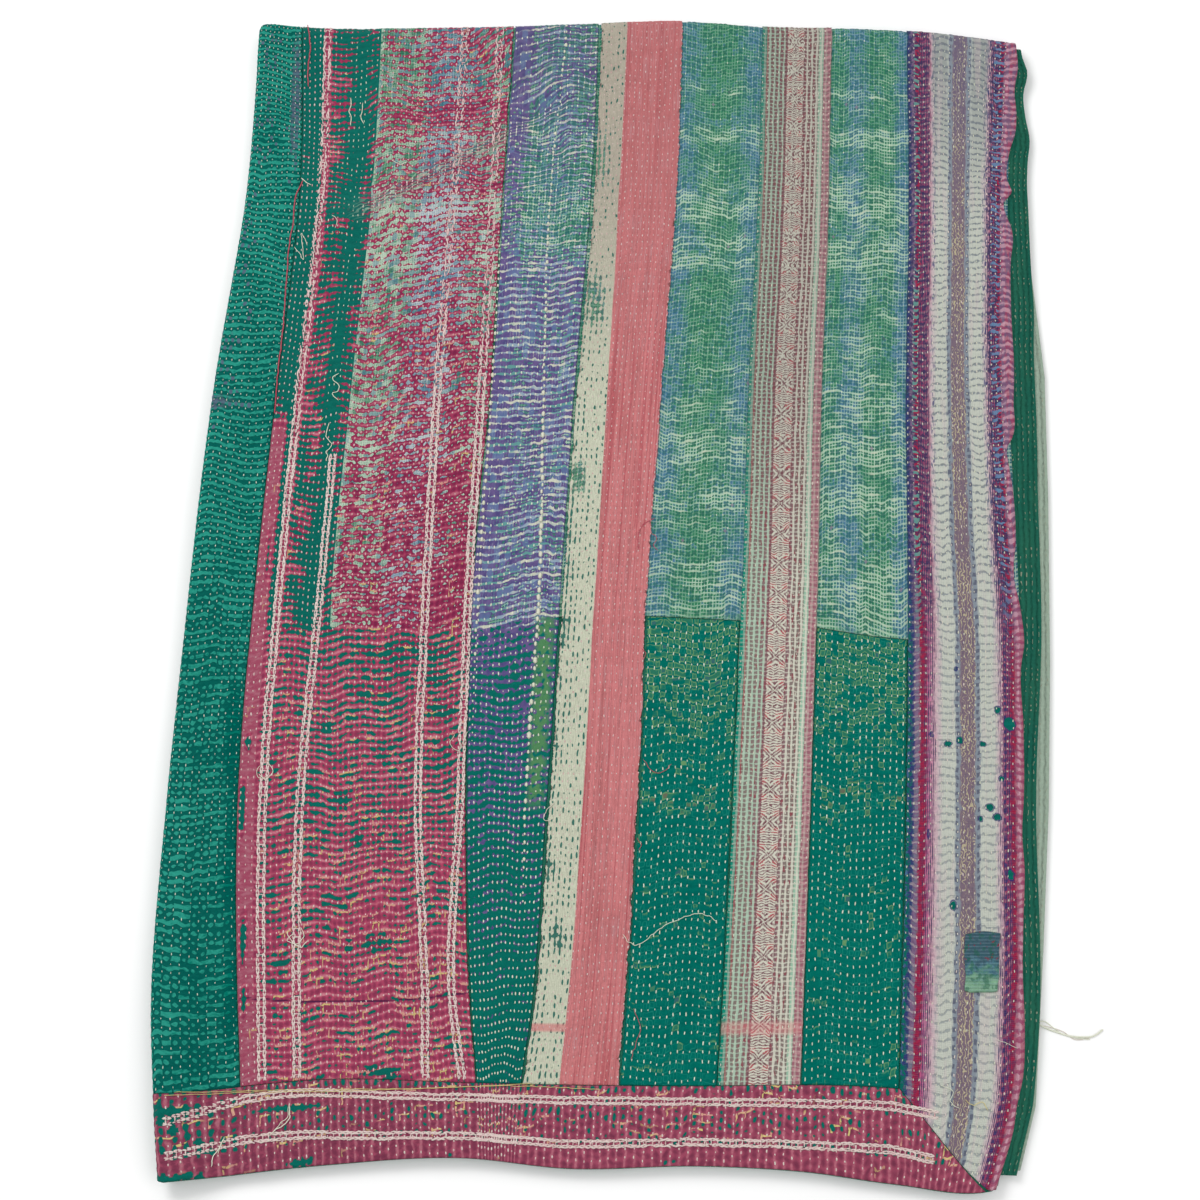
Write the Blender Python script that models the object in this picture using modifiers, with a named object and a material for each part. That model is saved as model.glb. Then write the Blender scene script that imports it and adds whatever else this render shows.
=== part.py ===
"""Kantha quilt, folded once lengthwise and once crosswise, lying flat.

+X is to the right, +Y away towards the crosswise fold, +Z up. The origin is on the floor, under
the middle of the footprint. All sizes in the tables are millimetres.

The quilted cloth is one sheet, laid out as a lattice. Its columns run the length of the cloth:
they go from the open edge of the outer half, round the lengthwise fold at the left, to the open
edge of the inner half. Its rows run across it: they go from the hem of the underside, round the
crosswise fold at the far end, to the hem of the top face. The outer half lies on the floor and
on top, the inner half lies between. The sewn-on pieces follow the same lattice on the top face
and a little way round the far fold.
"""

import math

import bmesh
import bpy
import numpy as np
from mathutils import Vector

MM = 0.001

# Driving sizes
CLOTH = 2.0  # thickness of the quilted cloth
PIECE = 0.7  # thickness of a sewn-on piece
SEAT = 0.3  # gap between a piece and what it is sewn to
EDGE = 0.35  # how far a piece stops short of its seam line, on each side
FLAT_HALF_GAP = 1.5  # half the pitch of the outer and the inner half, where they lie flat
ROLL_HALF_GAP = 3.6  # the same at the lengthwise fold, which is a soft roll
ROLL_WIDTH = 60.0  # from the lengthwise fold to where the cloth lies flat
CORE_GAP = 1.5  # half the pitch of the two inner layers, where they lie flat
FAR_ROLL = 3.0  # how much that grows at the crosswise fold
FAR_ROLL_WIDTH = 60.0
LOWER_INSET = 6.0  # how far the lower lengthwise fold lies in from the upper one
FOLD_STEPS = 8  # facets round the lengthwise fold
FAR_STEPS = 10  # facets round the crosswise fold
PIECE_FAR_STEPS = 7  # facets of it that the sewn-on pieces go round

# Lines that run the length of the quilt: X at each station, from the far fold to the near hem
STATION_Y = (600, 410, 200, 0, -200, -390, -460, -545)
LINES = {
    "left_fold": (-338, -346, -369, -383, -394, -398, -392, -383),
    "magenta_left": (-298, -295, -311, -324, -331, -323, -318, -312),
    "plaid_left": (-218, -224, -239, -251, -247, -241, -239, -236),
    "magenta_right": (-85, -95, -105, -120, -122, -115, -109, -106),
    "cream_left": (0, -8, -24, -36, -48, -61, -70, -74),
    "pink_right": (85, 77, 60, 46, 36, 23, 17, 12),
    "woven_left": (162, 154, 141, 132, 120, 108, 103, 98),
    "woven_right": (233, 225, 213, 204, 193, 182, 178, 175),
    "side_border_left": (306, 302, 292, 287, 279, 268, 264, 258),
    "top_edge": (413, 400, 392, 392, 385, 376, 368, 338),
    "second_edge": (427, 426, 416, 413, 399, 392, 382, 362),
    "third_edge": (424, 422, 427, 421, 411, 393, 385, 366),
    "lowest_edge": (411, 400, 394, 390, 384, 374, 366, 346),
}

# Lines that run across the top face: Y at each station, from left to right
STATION_X = (-380, -240, -120, -30, 90, 180, 260, 340, 420)
CROSS_LINES = {
    "far_fold": (601, 596, 597, 600, 604, 597, 596, 590, 578),
    "plaid_seam": (-31, -31, -31, -20, -22, -28, -40, -46, -46),
    "border_top": (-464, -450, -453, -455, -456, -455, -458, -468, -476),
    "hem": (-541, -525, -519, -528, -526, -531, -542, -548, -512),
}
HEM_SETBACK = {"top": 0, "second": 6, "third": 9, "lowest": 4}  # of each layer's hem

# Columns of the outer half, from the open edge to the roll: each strip and where it is divided
OUTER_STRIPS = (
    ("top_edge", "side_border_left", (0, 1 / 3, 2 / 3)),
    ("side_border_left", "woven_right", (0, 1 / 2)),
    ("woven_right", "woven_left", (0, 1 / 2)),
    ("woven_left", "pink_right", (0, 1 / 2)),
    ("pink_right", "cream_left", (0, 1 / 3, 2 / 3)),
    ("cream_left", "magenta_right", (0, 1 / 2)),
    ("magenta_right", "plaid_left", (0, 1 / 4, 2 / 4, 3 / 4)),
    ("plaid_left", "magenta_left", (0, 0.13, 0.55)),
    ("magenta_left", "left_fold", (0, 0.25, 0.5, 0.7, 0.87, 1)),
)
# Columns of the inner half, from the roll to the open edge
INNER_STRIPS = (
    ("left_fold", "magenta_left", (0, 0.13, 0.3, 0.5, 0.75)),
    ("magenta_left", "plaid_left", (0, 0.45)),
    ("plaid_left", "cream_left", (0, 1 / 2)),
    ("cream_left", "second_edge", (0, 1 / 3, 2 / 3, 1)),
)

# Rows: nominal Y, which the lines across bend
TANGENT_Y = 592
SEAM_Y = -31
BORDER_Y = -455
HEM_Y = -530
TOP_ROWS = (
    (TANGENT_Y, 580, 566, 549)
    + tuple(np.linspace(525, SEAM_Y, 15))
    + (-45,)
    + tuple(np.linspace(-84, BORDER_Y, 10))
    + tuple(np.linspace(BORDER_Y, HEM_Y, 4)[1:])
)
UNDER_ROWS = (HEM_Y, BORDER_Y, -200, 100, 350, 545)

# Soft ridges of the top layer: where each runs, how high it is and how wide to each side
RIDGES = (
    # x0, y0, x1, y1, height, half width
    (-250, 392, -3, 556, 5.0, 17),
    (-96, 402, -30, 452, 2.0, 14),
    (-302, 470, -288, 300, 2.5, 16),
    (-322, -70, -318, -380, 2.6, 24),
    (-190, 300, 150, 335, 2.4, 48),
    (-140, 90, 150, 60, 2.0, 52),
    (120, 470, 270, 220, 2.2, 44),
    (-60, -190, 190, -250, 1.8, 50),
    (-250, -300, -90, -360, 1.8, 42),
    (-300, -500, -60, -505, 1.6, 18),
)

# Sewn-on strips and panels: the lines between which each lies, and its colour and roughness
STRIPS = {
    # piece: left line, right line, first line across, colour, roughness
    "plaid_panel": ("plaid_left", "top_edge", "plaid_seam", (0.20, 0.38, 0.38), 0.90),
    "magenta_panel": ("magenta_left", "magenta_right", "border_top", (0.40, 0.06, 0.13), 0.90),
    "purple_strip": ("magenta_right", "cream_left", "border_top", (0.13, 0.12, 0.30), 0.90),
    "cream_pink_strip": ("cream_left", "pink_right", "border_top", (0.61, 0.30, 0.33), 0.88),
    "woven_strip": ("woven_left", "woven_right", "border_top", (0.45, 0.46, 0.42), 0.85),
}
CLOTH_COLOUR = (0.01, 0.16, 0.11)
SIDE_BORDER_COLOUR = (0.42, 0.25, 0.38)
BOTTOM_BORDER_COLOUR = (0.33, 0.07, 0.13)
PATCH_COLOUR = (0.03, 0.16, 0.20)
MITRE_X = (265, 338)  # from where the mitred seam leaves the side border's edge to the corner
MITRE_START = 1.5  # how far along it the bottom border begins
PATCH_X = (359, 326)
PATCH_Y = (-317, -368)


def clear_scene():
    for obj in list(bpy.data.objects):
        bpy.data.objects.remove(obj, do_unlink=True)


def through(at, stations, values):
    """A smooth curve through the values at the stations, read at one place."""
    order = np.argsort(stations)
    xs, ys = np.array(stations, float)[order], np.array(values, float)[order]
    slopes = np.gradient(ys, xs)
    i = int(np.clip(np.searchsorted(xs, at) - 1, 0, len(xs) - 2))
    step = xs[i + 1] - xs[i]
    q = float(np.clip((at - xs[i]) / step, 0, 1))
    rise = q * q * (3 - 2 * q)
    lean = q * (1 - q) * ((1 - q) * slopes[i] - q * slopes[i + 1]) * step
    return ys[i] * (1 - rise) + ys[i + 1] * rise + lean


def along(line, y):
    """X of a line that runs the length of the quilt."""
    return through(y, STATION_Y, LINES[line])


def across(line, x):
    """Y of a line that runs across the quilt."""
    return through(x, STATION_X, CROSS_LINES[line])


def fade(q):
    """From 1 at 0 down to 0 at 1, level at both ends."""
    q = min(max(q, 0.0), 1.0)
    return (1 - q) ** 2 * (1 + 2 * q)


def roll_gap(y):
    """Half the gap at the lengthwise fold, which is fuller in some places than in others."""
    return ROLL_HALF_GAP * (1 + 0.14 * math.sin(y / 95) + 0.08 * math.sin(y / 41))


def half_gap(x, y):
    """Half the pitch of the outer and the inner half."""
    roll = roll_gap(y)
    reach = (x - along("left_fold", y) - roll) / ROLL_WIDTH
    return FLAT_HALF_GAP + (roll - FLAT_HALF_GAP) * fade(reach)


def core_radius(x, y):
    """Half the height from the mid surface of the lower doubled layer to that of the upper one."""
    return half_gap(x, y) + CORE_GAP + FAR_ROLL * fade((TANGENT_Y - y) / FAR_ROLL_WIDTH)


def lift(x, y):
    """How far the top layer stands off the one under it, over its creases."""
    total = 0.0
    for x0, y0, x1, y1, height, half_width in RIDGES:
        run = Vector((x1 - x0, y1 - y0))
        from_start = Vector((x - x0, y - y0))
        share = min(max(from_start.dot(run) / run.length_squared, 0.0), 1.0)
        away = (from_start - run * share).length / half_width
        total += height * math.exp(-away * away)
    clear_of_far_fold = 1 - fade((TANGENT_Y - y) / 40)
    clear_of_left_fold = 1 - fade((x - along("left_fold", y) - ROLL_HALF_GAP) / 30)
    clear_of_side_border = fade((x - 190) / 60)
    clear_of_hem = 1 - fade((y - HEM_Y) / 20)
    return total * clear_of_far_fold * clear_of_left_fold * clear_of_side_border * clear_of_hem


def row_y(nominal, x, setback):
    """Y of a row at x: the far fold, the seams and the hem bend the rows near them."""
    centre = across("far_fold", x) - core_radius(x, TANGENT_Y) - half_gap(x, TANGENT_Y)
    knots = (HEM_Y, BORDER_Y, -300, -160, SEAM_Y, 110, 300, TANGENT_Y)
    places = (
        across("hem", x) + setback,
        across("border_top", x),
        -300,
        -160,
        across("plaid_seam", x),
        110,
        300,
        centre,
    )
    return float(np.interp(nominal, knots, places))


def blend(a, b, share):
    return a + (b - a) * share


def column_x(column, y, down):
    """X of a column where it lies flat: down goes from 0 on top to 1 underneath."""
    inset = LOWER_INSET * down
    lower = {"top_edge": "lowest_edge", "second_edge": "third_edge"}
    ends = []
    for line in column["lines"]:
        x = blend(along(line, y), along(lower.get(line, line), y), down)
        if line == "left_fold":
            x += inset + roll_gap(y)
        ends.append(x)
    return blend(ends[0], ends[1], column["share"])


def place(column, row):
    """The quilted cloth's mid surface where a column crosses a row."""
    nominal, far_turn = row
    down = (1 - math.cos(far_turn)) / 2
    inner = (1 - math.cos(column["turn"])) / 2
    upper_set = blend(HEM_SETBACK["top"], HEM_SETBACK["second"], inner)
    lower_set = blend(HEM_SETBACK["lowest"], HEM_SETBACK["third"], inner)
    x = column_x(column, nominal, down)
    y = row_y(nominal, x, blend(upper_set, lower_set, down))
    gap = half_gap(x, nominal)
    radius = core_radius(x, nominal)
    offset = gap * math.cos(column["turn"])
    reach = radius + offset
    z = CLOTH / 2 + radius + gap + reach * math.cos(far_turn)
    if column["turn"] == 0 and far_turn == 0:
        z += lift(x, y)
    return x - gap * math.sin(column["turn"]), y + reach * math.sin(far_turn), z


def make_columns():
    """The lattice's columns, and the number of the one on each line of the outer half."""
    columns, numbers = [], {}
    for first, second, shares in OUTER_STRIPS:
        numbers[first] = len(columns)
        columns += [{"lines": (first, second), "share": share, "turn": 0.0} for share in shares]
    numbers["roll_outermost"] = len(columns) - 1 + FOLD_STEPS // 2
    for step in range(1, FOLD_STEPS):
        turn = math.pi * step / FOLD_STEPS
        columns.append({"lines": ("left_fold", "left_fold"), "share": 0, "turn": turn})
    for first, second, shares in INNER_STRIPS:
        columns += [{"lines": (first, second), "share": share, "turn": math.pi} for share in shares]
    return columns, numbers


def make_rows():
    """The lattice's rows, and the number of each row that something ends on."""
    rows = [(y, math.pi) for y in UNDER_ROWS]
    rows += [(TANGENT_Y, math.pi * (1 - step / FAR_STEPS)) for step in range(FAR_STEPS)]
    numbers = {"piece_end": len(rows) - PIECE_FAR_STEPS}
    first_top = len(rows)
    rows += [(y, 0.0) for y in TOP_ROWS]
    numbers["plaid_seam"] = first_top + TOP_ROWS.index(SEAM_Y)
    numbers["border_top"] = first_top + TOP_ROWS.index(BORDER_Y)
    return rows, numbers


def normals_of(points):
    """The outward direction at each point of a lattice."""
    along_rows = np.gradient(points, axis=1)
    down_columns = np.gradient(points, axis=0)
    normals = np.cross(along_rows, down_columns)
    return normals / np.linalg.norm(normals, axis=2, keepdims=True)


def drawn_in(points):
    """The same lattice with its four sides moved in by the seam's share of the gap."""
    moved = points.copy()
    for side, inner in ((np.s_[0], np.s_[1]), (np.s_[-1], np.s_[-2])):
        for edge, within in (((side,), (inner,)), ((np.s_[:], side), (np.s_[:], inner))):
            run = points[within] - points[edge]
            moved[edge] += run * (EDGE / np.linalg.norm(run, axis=-1, keepdims=True))
    return moved


def material(name, colour, roughness):
    made = bpy.data.materials.new(name)
    made.use_nodes = True
    shader = made.node_tree.nodes["Principled BSDF"]
    shader.inputs["Base Color"].default_value = (*colour, 1)
    shader.inputs["Roughness"].default_value = roughness
    shader.inputs["Metallic"].default_value = 0
    return made


def add_sheet(name, points, thickness, colour, roughness, collection):
    """One sheet of cloth: a grid laid on the lattice's points, then given its thickness."""
    count_rows, count_columns = points.shape[:2]
    grid = bmesh.new()
    bmesh.ops.create_grid(grid, x_segments=count_columns - 1, y_segments=count_rows - 1, size=1)
    for vertex, point in zip(grid.verts, points.reshape(-1, 3)):
        vertex.co = point * MM
    bmesh.ops.triangulate(grid, faces=grid.faces, quad_method="FIXED")
    mesh = bpy.data.meshes.new(name)
    grid.to_mesh(mesh)
    grid.free()
    mesh.shade_smooth()
    mesh.materials.append(material(name, colour, roughness))
    obj = bpy.data.objects.new(name, mesh)
    collection.objects.link(obj)
    solidify = obj.modifiers.new("Thickness", "SOLIDIFY")
    solidify.thickness = thickness * MM
    solidify.offset = 0
    return obj


def stand_off(levels):
    """Distance from the cloth's mid surface to a piece's, over that many pieces."""
    return CLOTH / 2 + SEAT + PIECE / 2 + levels * (PIECE + SEAT)


def flat_points(outline, level):
    """A piece's lattice where the cloth lies flat: rows of (x, y)."""
    height = CLOTH + 2 * CORE_GAP + 4 * FLAT_HALF_GAP - CLOTH / 2 + stand_off(level)
    return np.array([[(x, y, height) for x, y in row] for row in outline])


def mitre_y(x):
    """Y of the mitred seam, from the side border's inner edge to the corner of the hem."""
    start_x, end_x = MITRE_X
    share = min(max((x - start_x) / (end_x - start_x), 0.0), 1.0)
    return blend(across("border_top", start_x), across("hem", end_x), share)


def side_border_points(raised, columns, rows):
    """The side border's lattice: its last row lies on the mitred seam."""
    points = raised[rows[0] : rows[1] + 1, columns[0] : columns[1] + 1].copy()
    end = []
    for number in range(points.shape[1]):
        x = blend(MITRE_X[1], MITRE_X[0], number / (points.shape[1] - 1))
        end.append((x, mitre_y(x)))
    points[-1] = flat_points([end], 0)[0]
    return drawn_in(points)


def bottom_border_points(raised, columns, rows):
    """The bottom border's lattice: the mitred seam, a column halfway, then the cloth's own."""
    points = raised[rows[0] : rows[1] + 1, columns[0] : columns[1] + 1]
    mitred = []
    for number, row in enumerate(points):
        x = blend(MITRE_X[0] + MITRE_START, MITRE_X[1], number / (len(points) - 1))
        y = mitre_y(x)
        mitred.append([(x, y), ((x + row[0][0]) / 2, (y + row[0][1]) / 2)])
    return drawn_in(np.concatenate([flat_points(mitred, 0), points], axis=1))


def stand_on_floor(collection):
    """Puts the origin on the floor, under the middle of the footprint."""
    centre = bpy.data.objects.new("footprint_centre", None)
    collection.objects.link(centre)
    bpy.context.view_layer.update()
    graph = bpy.context.evaluated_depsgraph_get()
    places = []
    for obj in collection.objects:
        if obj.type == "MESH":
            mesh = obj.evaluated_get(graph).to_mesh()
            places += [vertex.co.copy() for vertex in mesh.vertices]
            obj.parent = centre
    low = Vector(map(min, zip(*places)))
    high = Vector(map(max, zip(*places)))
    centre.location = (-(low.x + high.x) / 2, -(low.y + high.y) / 2, -low.z)


def main():
    clear_scene()
    collection = bpy.data.collections.new("kantha_quilt")
    bpy.context.scene.collection.children.link(collection)

    columns, column_numbers = make_columns()
    rows, row_numbers = make_rows()
    points = np.array([[place(column, row) for column in columns] for row in rows])
    normals = normals_of(points)
    add_sheet("quilt_cloth", points, CLOTH, CLOTH_COLOUR, 0.92, collection)

    levels = np.zeros(points.shape[:2])
    levels[: row_numbers["plaid_seam"] + 1, : column_numbers["plaid_left"] + 1] = 1
    on_cloth = points + normals * stand_off(0)
    on_top = points + normals * stand_off(levels)[..., None]
    far_end = row_numbers["piece_end"]
    for name, (left, right, near, colour, roughness) in STRIPS.items():
        raised = on_cloth if name == "plaid_panel" else on_top
        part = np.s_[
            far_end : row_numbers[near] + 1,
            column_numbers[right] : column_numbers[left] + 1,
        ]
        add_sheet(name, drawn_in(raised[part]), PIECE, colour, roughness, collection)

    side = side_border_points(
        on_top,
        (column_numbers["top_edge"], column_numbers["side_border_left"]),
        (far_end, row_numbers["border_top"]),
    )
    add_sheet("side_border", side, PIECE, SIDE_BORDER_COLOUR, 0.88, collection)
    bottom = bottom_border_points(
        on_cloth,
        (column_numbers["side_border_left"], column_numbers["roll_outermost"]),
        (row_numbers["border_top"], len(rows) - 1),
    )
    add_sheet("bottom_border", bottom, PIECE, BOTTOM_BORDER_COLOUR, 0.9, collection)
    patch = flat_points([[(x, y) for x in PATCH_X] for y in PATCH_Y], 1)
    add_sheet("darned_patch", patch, PIECE, PATCH_COLOUR, 0.9, collection)
    stand_on_floor(collection)


main()
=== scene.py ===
"""Kantha quilt, folded in quarters and lying flat: its worn cloths, stitches and threads.

Lengths are in millimetres in the quilt's own plan: X to the right, Y away, to the crosswise fold.
Along the quilt run the rows of running stitch, numbered from the lengthwise fold to the open edge;
along a row, the stitches are counted from the near hem. A place on the quilt is a row and a count,
and every piece of cloth is laid out in them, so that stitches, puckers and worn lines agree.
A line of equal count bends with the seams and the hem; its nominal Y is where it would lie if it
ran straight across. The materials read the same rows and stitches, and metres along each piece.
"""

import math

import bpy
import numpy as np
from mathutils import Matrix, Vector


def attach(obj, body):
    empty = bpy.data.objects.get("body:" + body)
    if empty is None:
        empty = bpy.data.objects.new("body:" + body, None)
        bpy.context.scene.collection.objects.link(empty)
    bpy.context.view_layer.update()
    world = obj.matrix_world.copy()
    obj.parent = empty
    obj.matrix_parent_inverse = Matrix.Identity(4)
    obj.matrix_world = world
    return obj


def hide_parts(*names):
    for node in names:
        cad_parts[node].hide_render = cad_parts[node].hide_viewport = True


MM = 0.001
PLAN_TO_FRAME = (-13.405, -28.856, 0.0)  # from the quilt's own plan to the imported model's frame

# Thicknesses and gaps
CLOTH = 2.0  # the quilted cloth
PIECE = 0.7  # a sewn-on piece
FACE = 0.4  # the green face cloth where it shows
SEAT = 0.3  # gap under a piece
FACE_SEAT = 0.1
EDGE = 0.3  # how far a piece stops short of its seam line
PUCKER = 0.95  # how high the cloth puffs up between its stitches

# The folds
FLAT_HALF_GAP = 1.5  # half the pitch of two layers where they lie flat
ROLL_HALF_GAP = 3.6  # the same in the lengthwise fold
ROLL_WIDTH = 60.0  # how far from the fold the layers have come together
# Shares by which that fold swells and shrinks along its length, and the Y to each radian
ROLL_SWELLS = ((0.14, 95), (0.08, 41))
CORE_GAP = 1.5  # what the crosswise fold adds to it
FAR_ROLL = 3.0  # and what it adds more at the fold itself
FAR_ROLL_WIDTH = 60.0
LOWER_INSET = 6.0  # how far the lower layers' fold lies in from the upper one's
TANGENT_Y = 592.0  # nominal Y where the crosswise fold starts
SEAM_Y = -31.0  # of the plaid panel's seam
BORDER_Y = -455.0  # of the bottom border's
HEM_Y = -530.0
ROLL_TURN = 0.8 * math.pi  # how far the face cloth goes round the lengthwise fold
ARC_TURN = 0.7 * math.pi  # how far the pieces go round the crosswise fold

# Lines that run the length of the quilt: X at each station, from the far fold to the near hem
STATION_Y = (600, 410, 200, 0, -200, -390, -460, -545)
LINES = {
    "left_fold": (-338, -346, -369, -383, -394, -398, -392, -383),
    "magenta_left": (-298, -295, -311, -324, -331, -323, -318, -312),
    "plaid_left": (-218, -224, -239, -251, -247, -241, -239, -236),
    "magenta_right": (-85, -95, -105, -120, -122, -115, -109, -106),
    "cream_left": (0, -8, -24, -36, -48, -61, -70, -74),
    "pink_right": (85, 77, 60, 46, 36, 23, 17, 12),
    "woven_left": (162, 154, 141, 132, 120, 108, 103, 98),
    "woven_right": (233, 225, 213, 204, 193, 182, 178, 175),
    "side_border_left": (306, 302, 292, 287, 279, 268, 264, 258),
    "top_edge": (413, 400, 392, 392, 385, 376, 368, 338),
    "second_edge": (427, 426, 416, 413, 399, 392, 382, 362),
    "third_edge": (424, 422, 427, 421, 411, 393, 385, 366),
    "lowest_edge": (411, 400, 394, 390, 384, 374, 366, 346),
}
LOWER_LINES = {"top_edge": "lowest_edge", "second_edge": "third_edge"}

# The number of the stitch row on each line of the top face
ROW_ON = {
    "left_fold": 0,
    "magenta_left": 9,
    "plaid_left": 24,
    "magenta_right": 49,
    "cream_left": 65,
    "pink_right": 82,
    "woven_left": 97,
    "woven_right": 111,
    "side_border_left": 126,
    "top_edge": 147,
}

# Lines that run across the top face: Y at each station, from left to right
STATION_X = (-380, -240, -120, -30, 90, 180, 260, 340, 420)
CROSS_LINES = {
    "far_fold": (601, 596, 597, 600, 604, 597, 596, 590, 578),
    "plaid_seam": (-31, -31, -31, -20, -22, -28, -40, -46, -46),
    "border_top": (-464, -450, -453, -455, -456, -455, -458, -468, -476),
    "hem": (-541, -525, -519, -528, -526, -531, -542, -548, -512),
}
HEM_SETBACK = {"top": 0, "second": 6, "third": 9, "lowest": 4}
MITRE_X = (265, 338)

# Soft ridges of the top layer: where each runs, how high it is and how wide to each side
STEEP_RIDGE = 3.0  # a ridge higher than this falls off faster on its left
RIDGES = (
    # x0, y0, x1, y1, height, half width
    (-250, 392, -3, 556, 5.0, 17),
    (-96, 402, -30, 452, 2.0, 14),
    (-302, 470, -288, 300, 2.5, 16),
    (-322, -70, -318, -380, 2.6, 24),
    (-190, 300, 150, 335, 2.4, 48),
    (-140, 90, 150, 60, 2.0, 52),
    (120, 470, 270, 220, 2.2, 44),
    (-60, -190, 190, -250, 1.8, 50),
    (-250, -300, -90, -360, 1.8, 42),
    (-300, -500, -60, -505, 1.6, 18),
)

# How far from the far fold, the left fold and the hem the ridges have their full height
FAR_CLEARANCE, LEFT_CLEARANCE, HEM_CLEARANCE = 40.0, 30.0, 20.0
# X from which the ridges die down towards the side border, over what width, and what is left there
BORDER_CALM = (190.0, 60.0, 0.25)

# Where the cloth was once creased, the lines of stitches crowd together and run along the crease
CREASES = (
    # x0, y0, x1, y1, stitches taken up, half width
    (-236, 395, -44, 507, 2.4, 7),
    (-100, 400, -26, 456, 1.0, 8),
    (-40, 540, 60, 520, 0.8, 10),
    (130, 300, 230, 318, 0.6, 12),
    (-250, 60, -120, 92, 0.6, 12),
    (-240, -250, -130, -236, 0.5, 12),
)
RUMPLES = ((0.55, 46, 40, 71), (0.32, 27, 24, 73))  # height, X and Y size of a bump, seed

# By row: how far its stitches lean towards the far fold and how unevenly they lie, in stitches
LEAN = ((-3, 0), (9, 0.4), (24, 1.3), (49, 3.0), (65, 3.6), (97, 4.2), (147, 4.6))
UNEVEN = ((0, 0.3), (9, 0.1), (24, 0.12), (49, 0.12), (65, 0.22), (97, 0.3), (147, 0.3))

# Length of one running stitch and its gap, at the near hem and how it shortens towards the far fold
STITCH_AT_MIDDLE = 7.45
STITCH_SHORTENS = 0.0011
ROW_PITCH = 5.2
ROW_TO_STITCH = 0.66  # the pitch of the rows over the pitch of the stitches
BORDER_ROWS = 1.38  # the rows of stitches in the bottom border lie this much further apart

# Dyes, as 8-bit screen values
DYES = dict(
    teal=(0, 112, 99), deep_teal=(0, 87, 80), forest=(28, 98, 72), jade=(0, 116, 101),
    sea_green=(46, 154, 136), leaf=(50, 126, 90), olive=(110, 152, 100), olive_dark=(80, 132, 88),
    mint=(166, 196, 170), pale_green=(182, 204, 184), cream=(209, 212, 190),
    oatmeal=(176, 182, 158), ivory=(226, 228, 212), butter=(212, 196, 126), straw=(200, 190, 150),
    salmon=(214, 160, 142), magenta=(182, 74, 104), wine=(140, 54, 84), rose=(214, 130, 132),
    dusty_rose=(172, 106, 122), brick=(178, 102, 104), blush=(206, 158, 162), berry=(152, 54, 94),
    crimson=(156, 16, 62), crimson_soft=(176, 54, 84), navy=(40, 50, 110), indigo=(78, 72, 122),
    violet=(104, 88, 136), plum=(122, 102, 116), plum_dark=(84, 30, 70), mauve=(126, 98, 130),
    sky=(146, 168, 184), blue=(72, 118, 150), plaid_shadow=(48, 98, 122), slate=(134, 144, 154),
    white_cloth=(198, 202, 190), taupe=(138, 112, 114), heather=(130, 118, 112),
    heather_dark=(96, 90, 90), bark=(112, 104, 84), mauve_dark=(96, 92, 124),
    magenta_dull=(160, 74, 98), claret=(124, 36, 72), claret_light=(162, 54, 90),
    rose_pale=(210, 138, 150), sea_mist=(96, 158, 148), sage=(136, 180, 148),
    mint_dull=(150, 186, 162), mint_pale=(176, 202, 180), taupe_pale=(166, 152, 140),
    taupe_dark=(120, 80, 88), brick_pale=(170, 110, 104), brick_dark=(140, 52, 70),
    pink_pale=(204, 156, 172), night=(46, 40, 84), dusk=(82, 84, 104), sky_deep=(100, 136, 172),
    grey=(116, 124, 128), yarn=(222, 204, 200), selvedge=(14, 138, 116), fir=(52, 122, 98),
    sky_pale=(178, 188, 204), darn_dark=(60, 96, 108), orchid=(192, 96, 140), linen=(204, 186, 188),
    wine_dull=(120, 52, 76), brick_red=(180, 84, 92), darn_green=(92, 142, 126),
    darn_blue=(76, 120, 136), shell=(212, 212, 196), mauve_rose=(152, 98, 110),
    brick_brown=(116, 62, 72),
)  # fmt: skip


def dye(name):
    """A named dye as a linear colour."""
    levels = [level / 255 for level in DYES[name]]
    linear = [a / 12.92 if a <= 0.04045 else ((a + 0.055) / 1.055) ** 2.4 for a in levels]
    return (*linear, 1.0)


# ---- The quilt's surface ----

def through(at, stations, values):
    """A smooth curve through the values at the stations, read at many places."""
    order = np.argsort(stations)
    xs, ys = np.array(stations, float)[order], np.array(values, float)[order]
    slopes = np.gradient(ys, xs)
    at = np.asarray(at, float)
    i = np.clip(np.searchsorted(xs, at) - 1, 0, len(xs) - 2)
    step = xs[i + 1] - xs[i]
    q = np.clip((at - xs[i]) / step, 0, 1)
    rise = q * q * (3 - 2 * q)
    lean = q * (1 - q) * ((1 - q) * slopes[i] - q * slopes[i + 1]) * step
    return ys[i] * (1 - rise) + ys[i + 1] * rise + lean


FINE_Y, FINE_X = np.arange(-560.0, 621.0, 0.5), np.arange(-420.0, 461.0, 0.5)
FINE_LINES = {line: through(FINE_Y, STATION_Y, values) for line, values in LINES.items()}
FINE_CROSS_LINES = {line: through(FINE_X, STATION_X, ys) for line, ys in CROSS_LINES.items()}


def along(line, y):
    return np.interp(y, FINE_Y, FINE_LINES[line])


def across(line, x):
    return np.interp(x, FINE_X, FINE_CROSS_LINES[line])


def fade(q):
    """From 1 at 0 down to 0 at 1, level at both ends."""
    q = np.clip(q, 0, 1)
    return (1 - q) ** 2 * (1 + 2 * q)


def blend(a, b, share):
    return a + (b - a) * share


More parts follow.
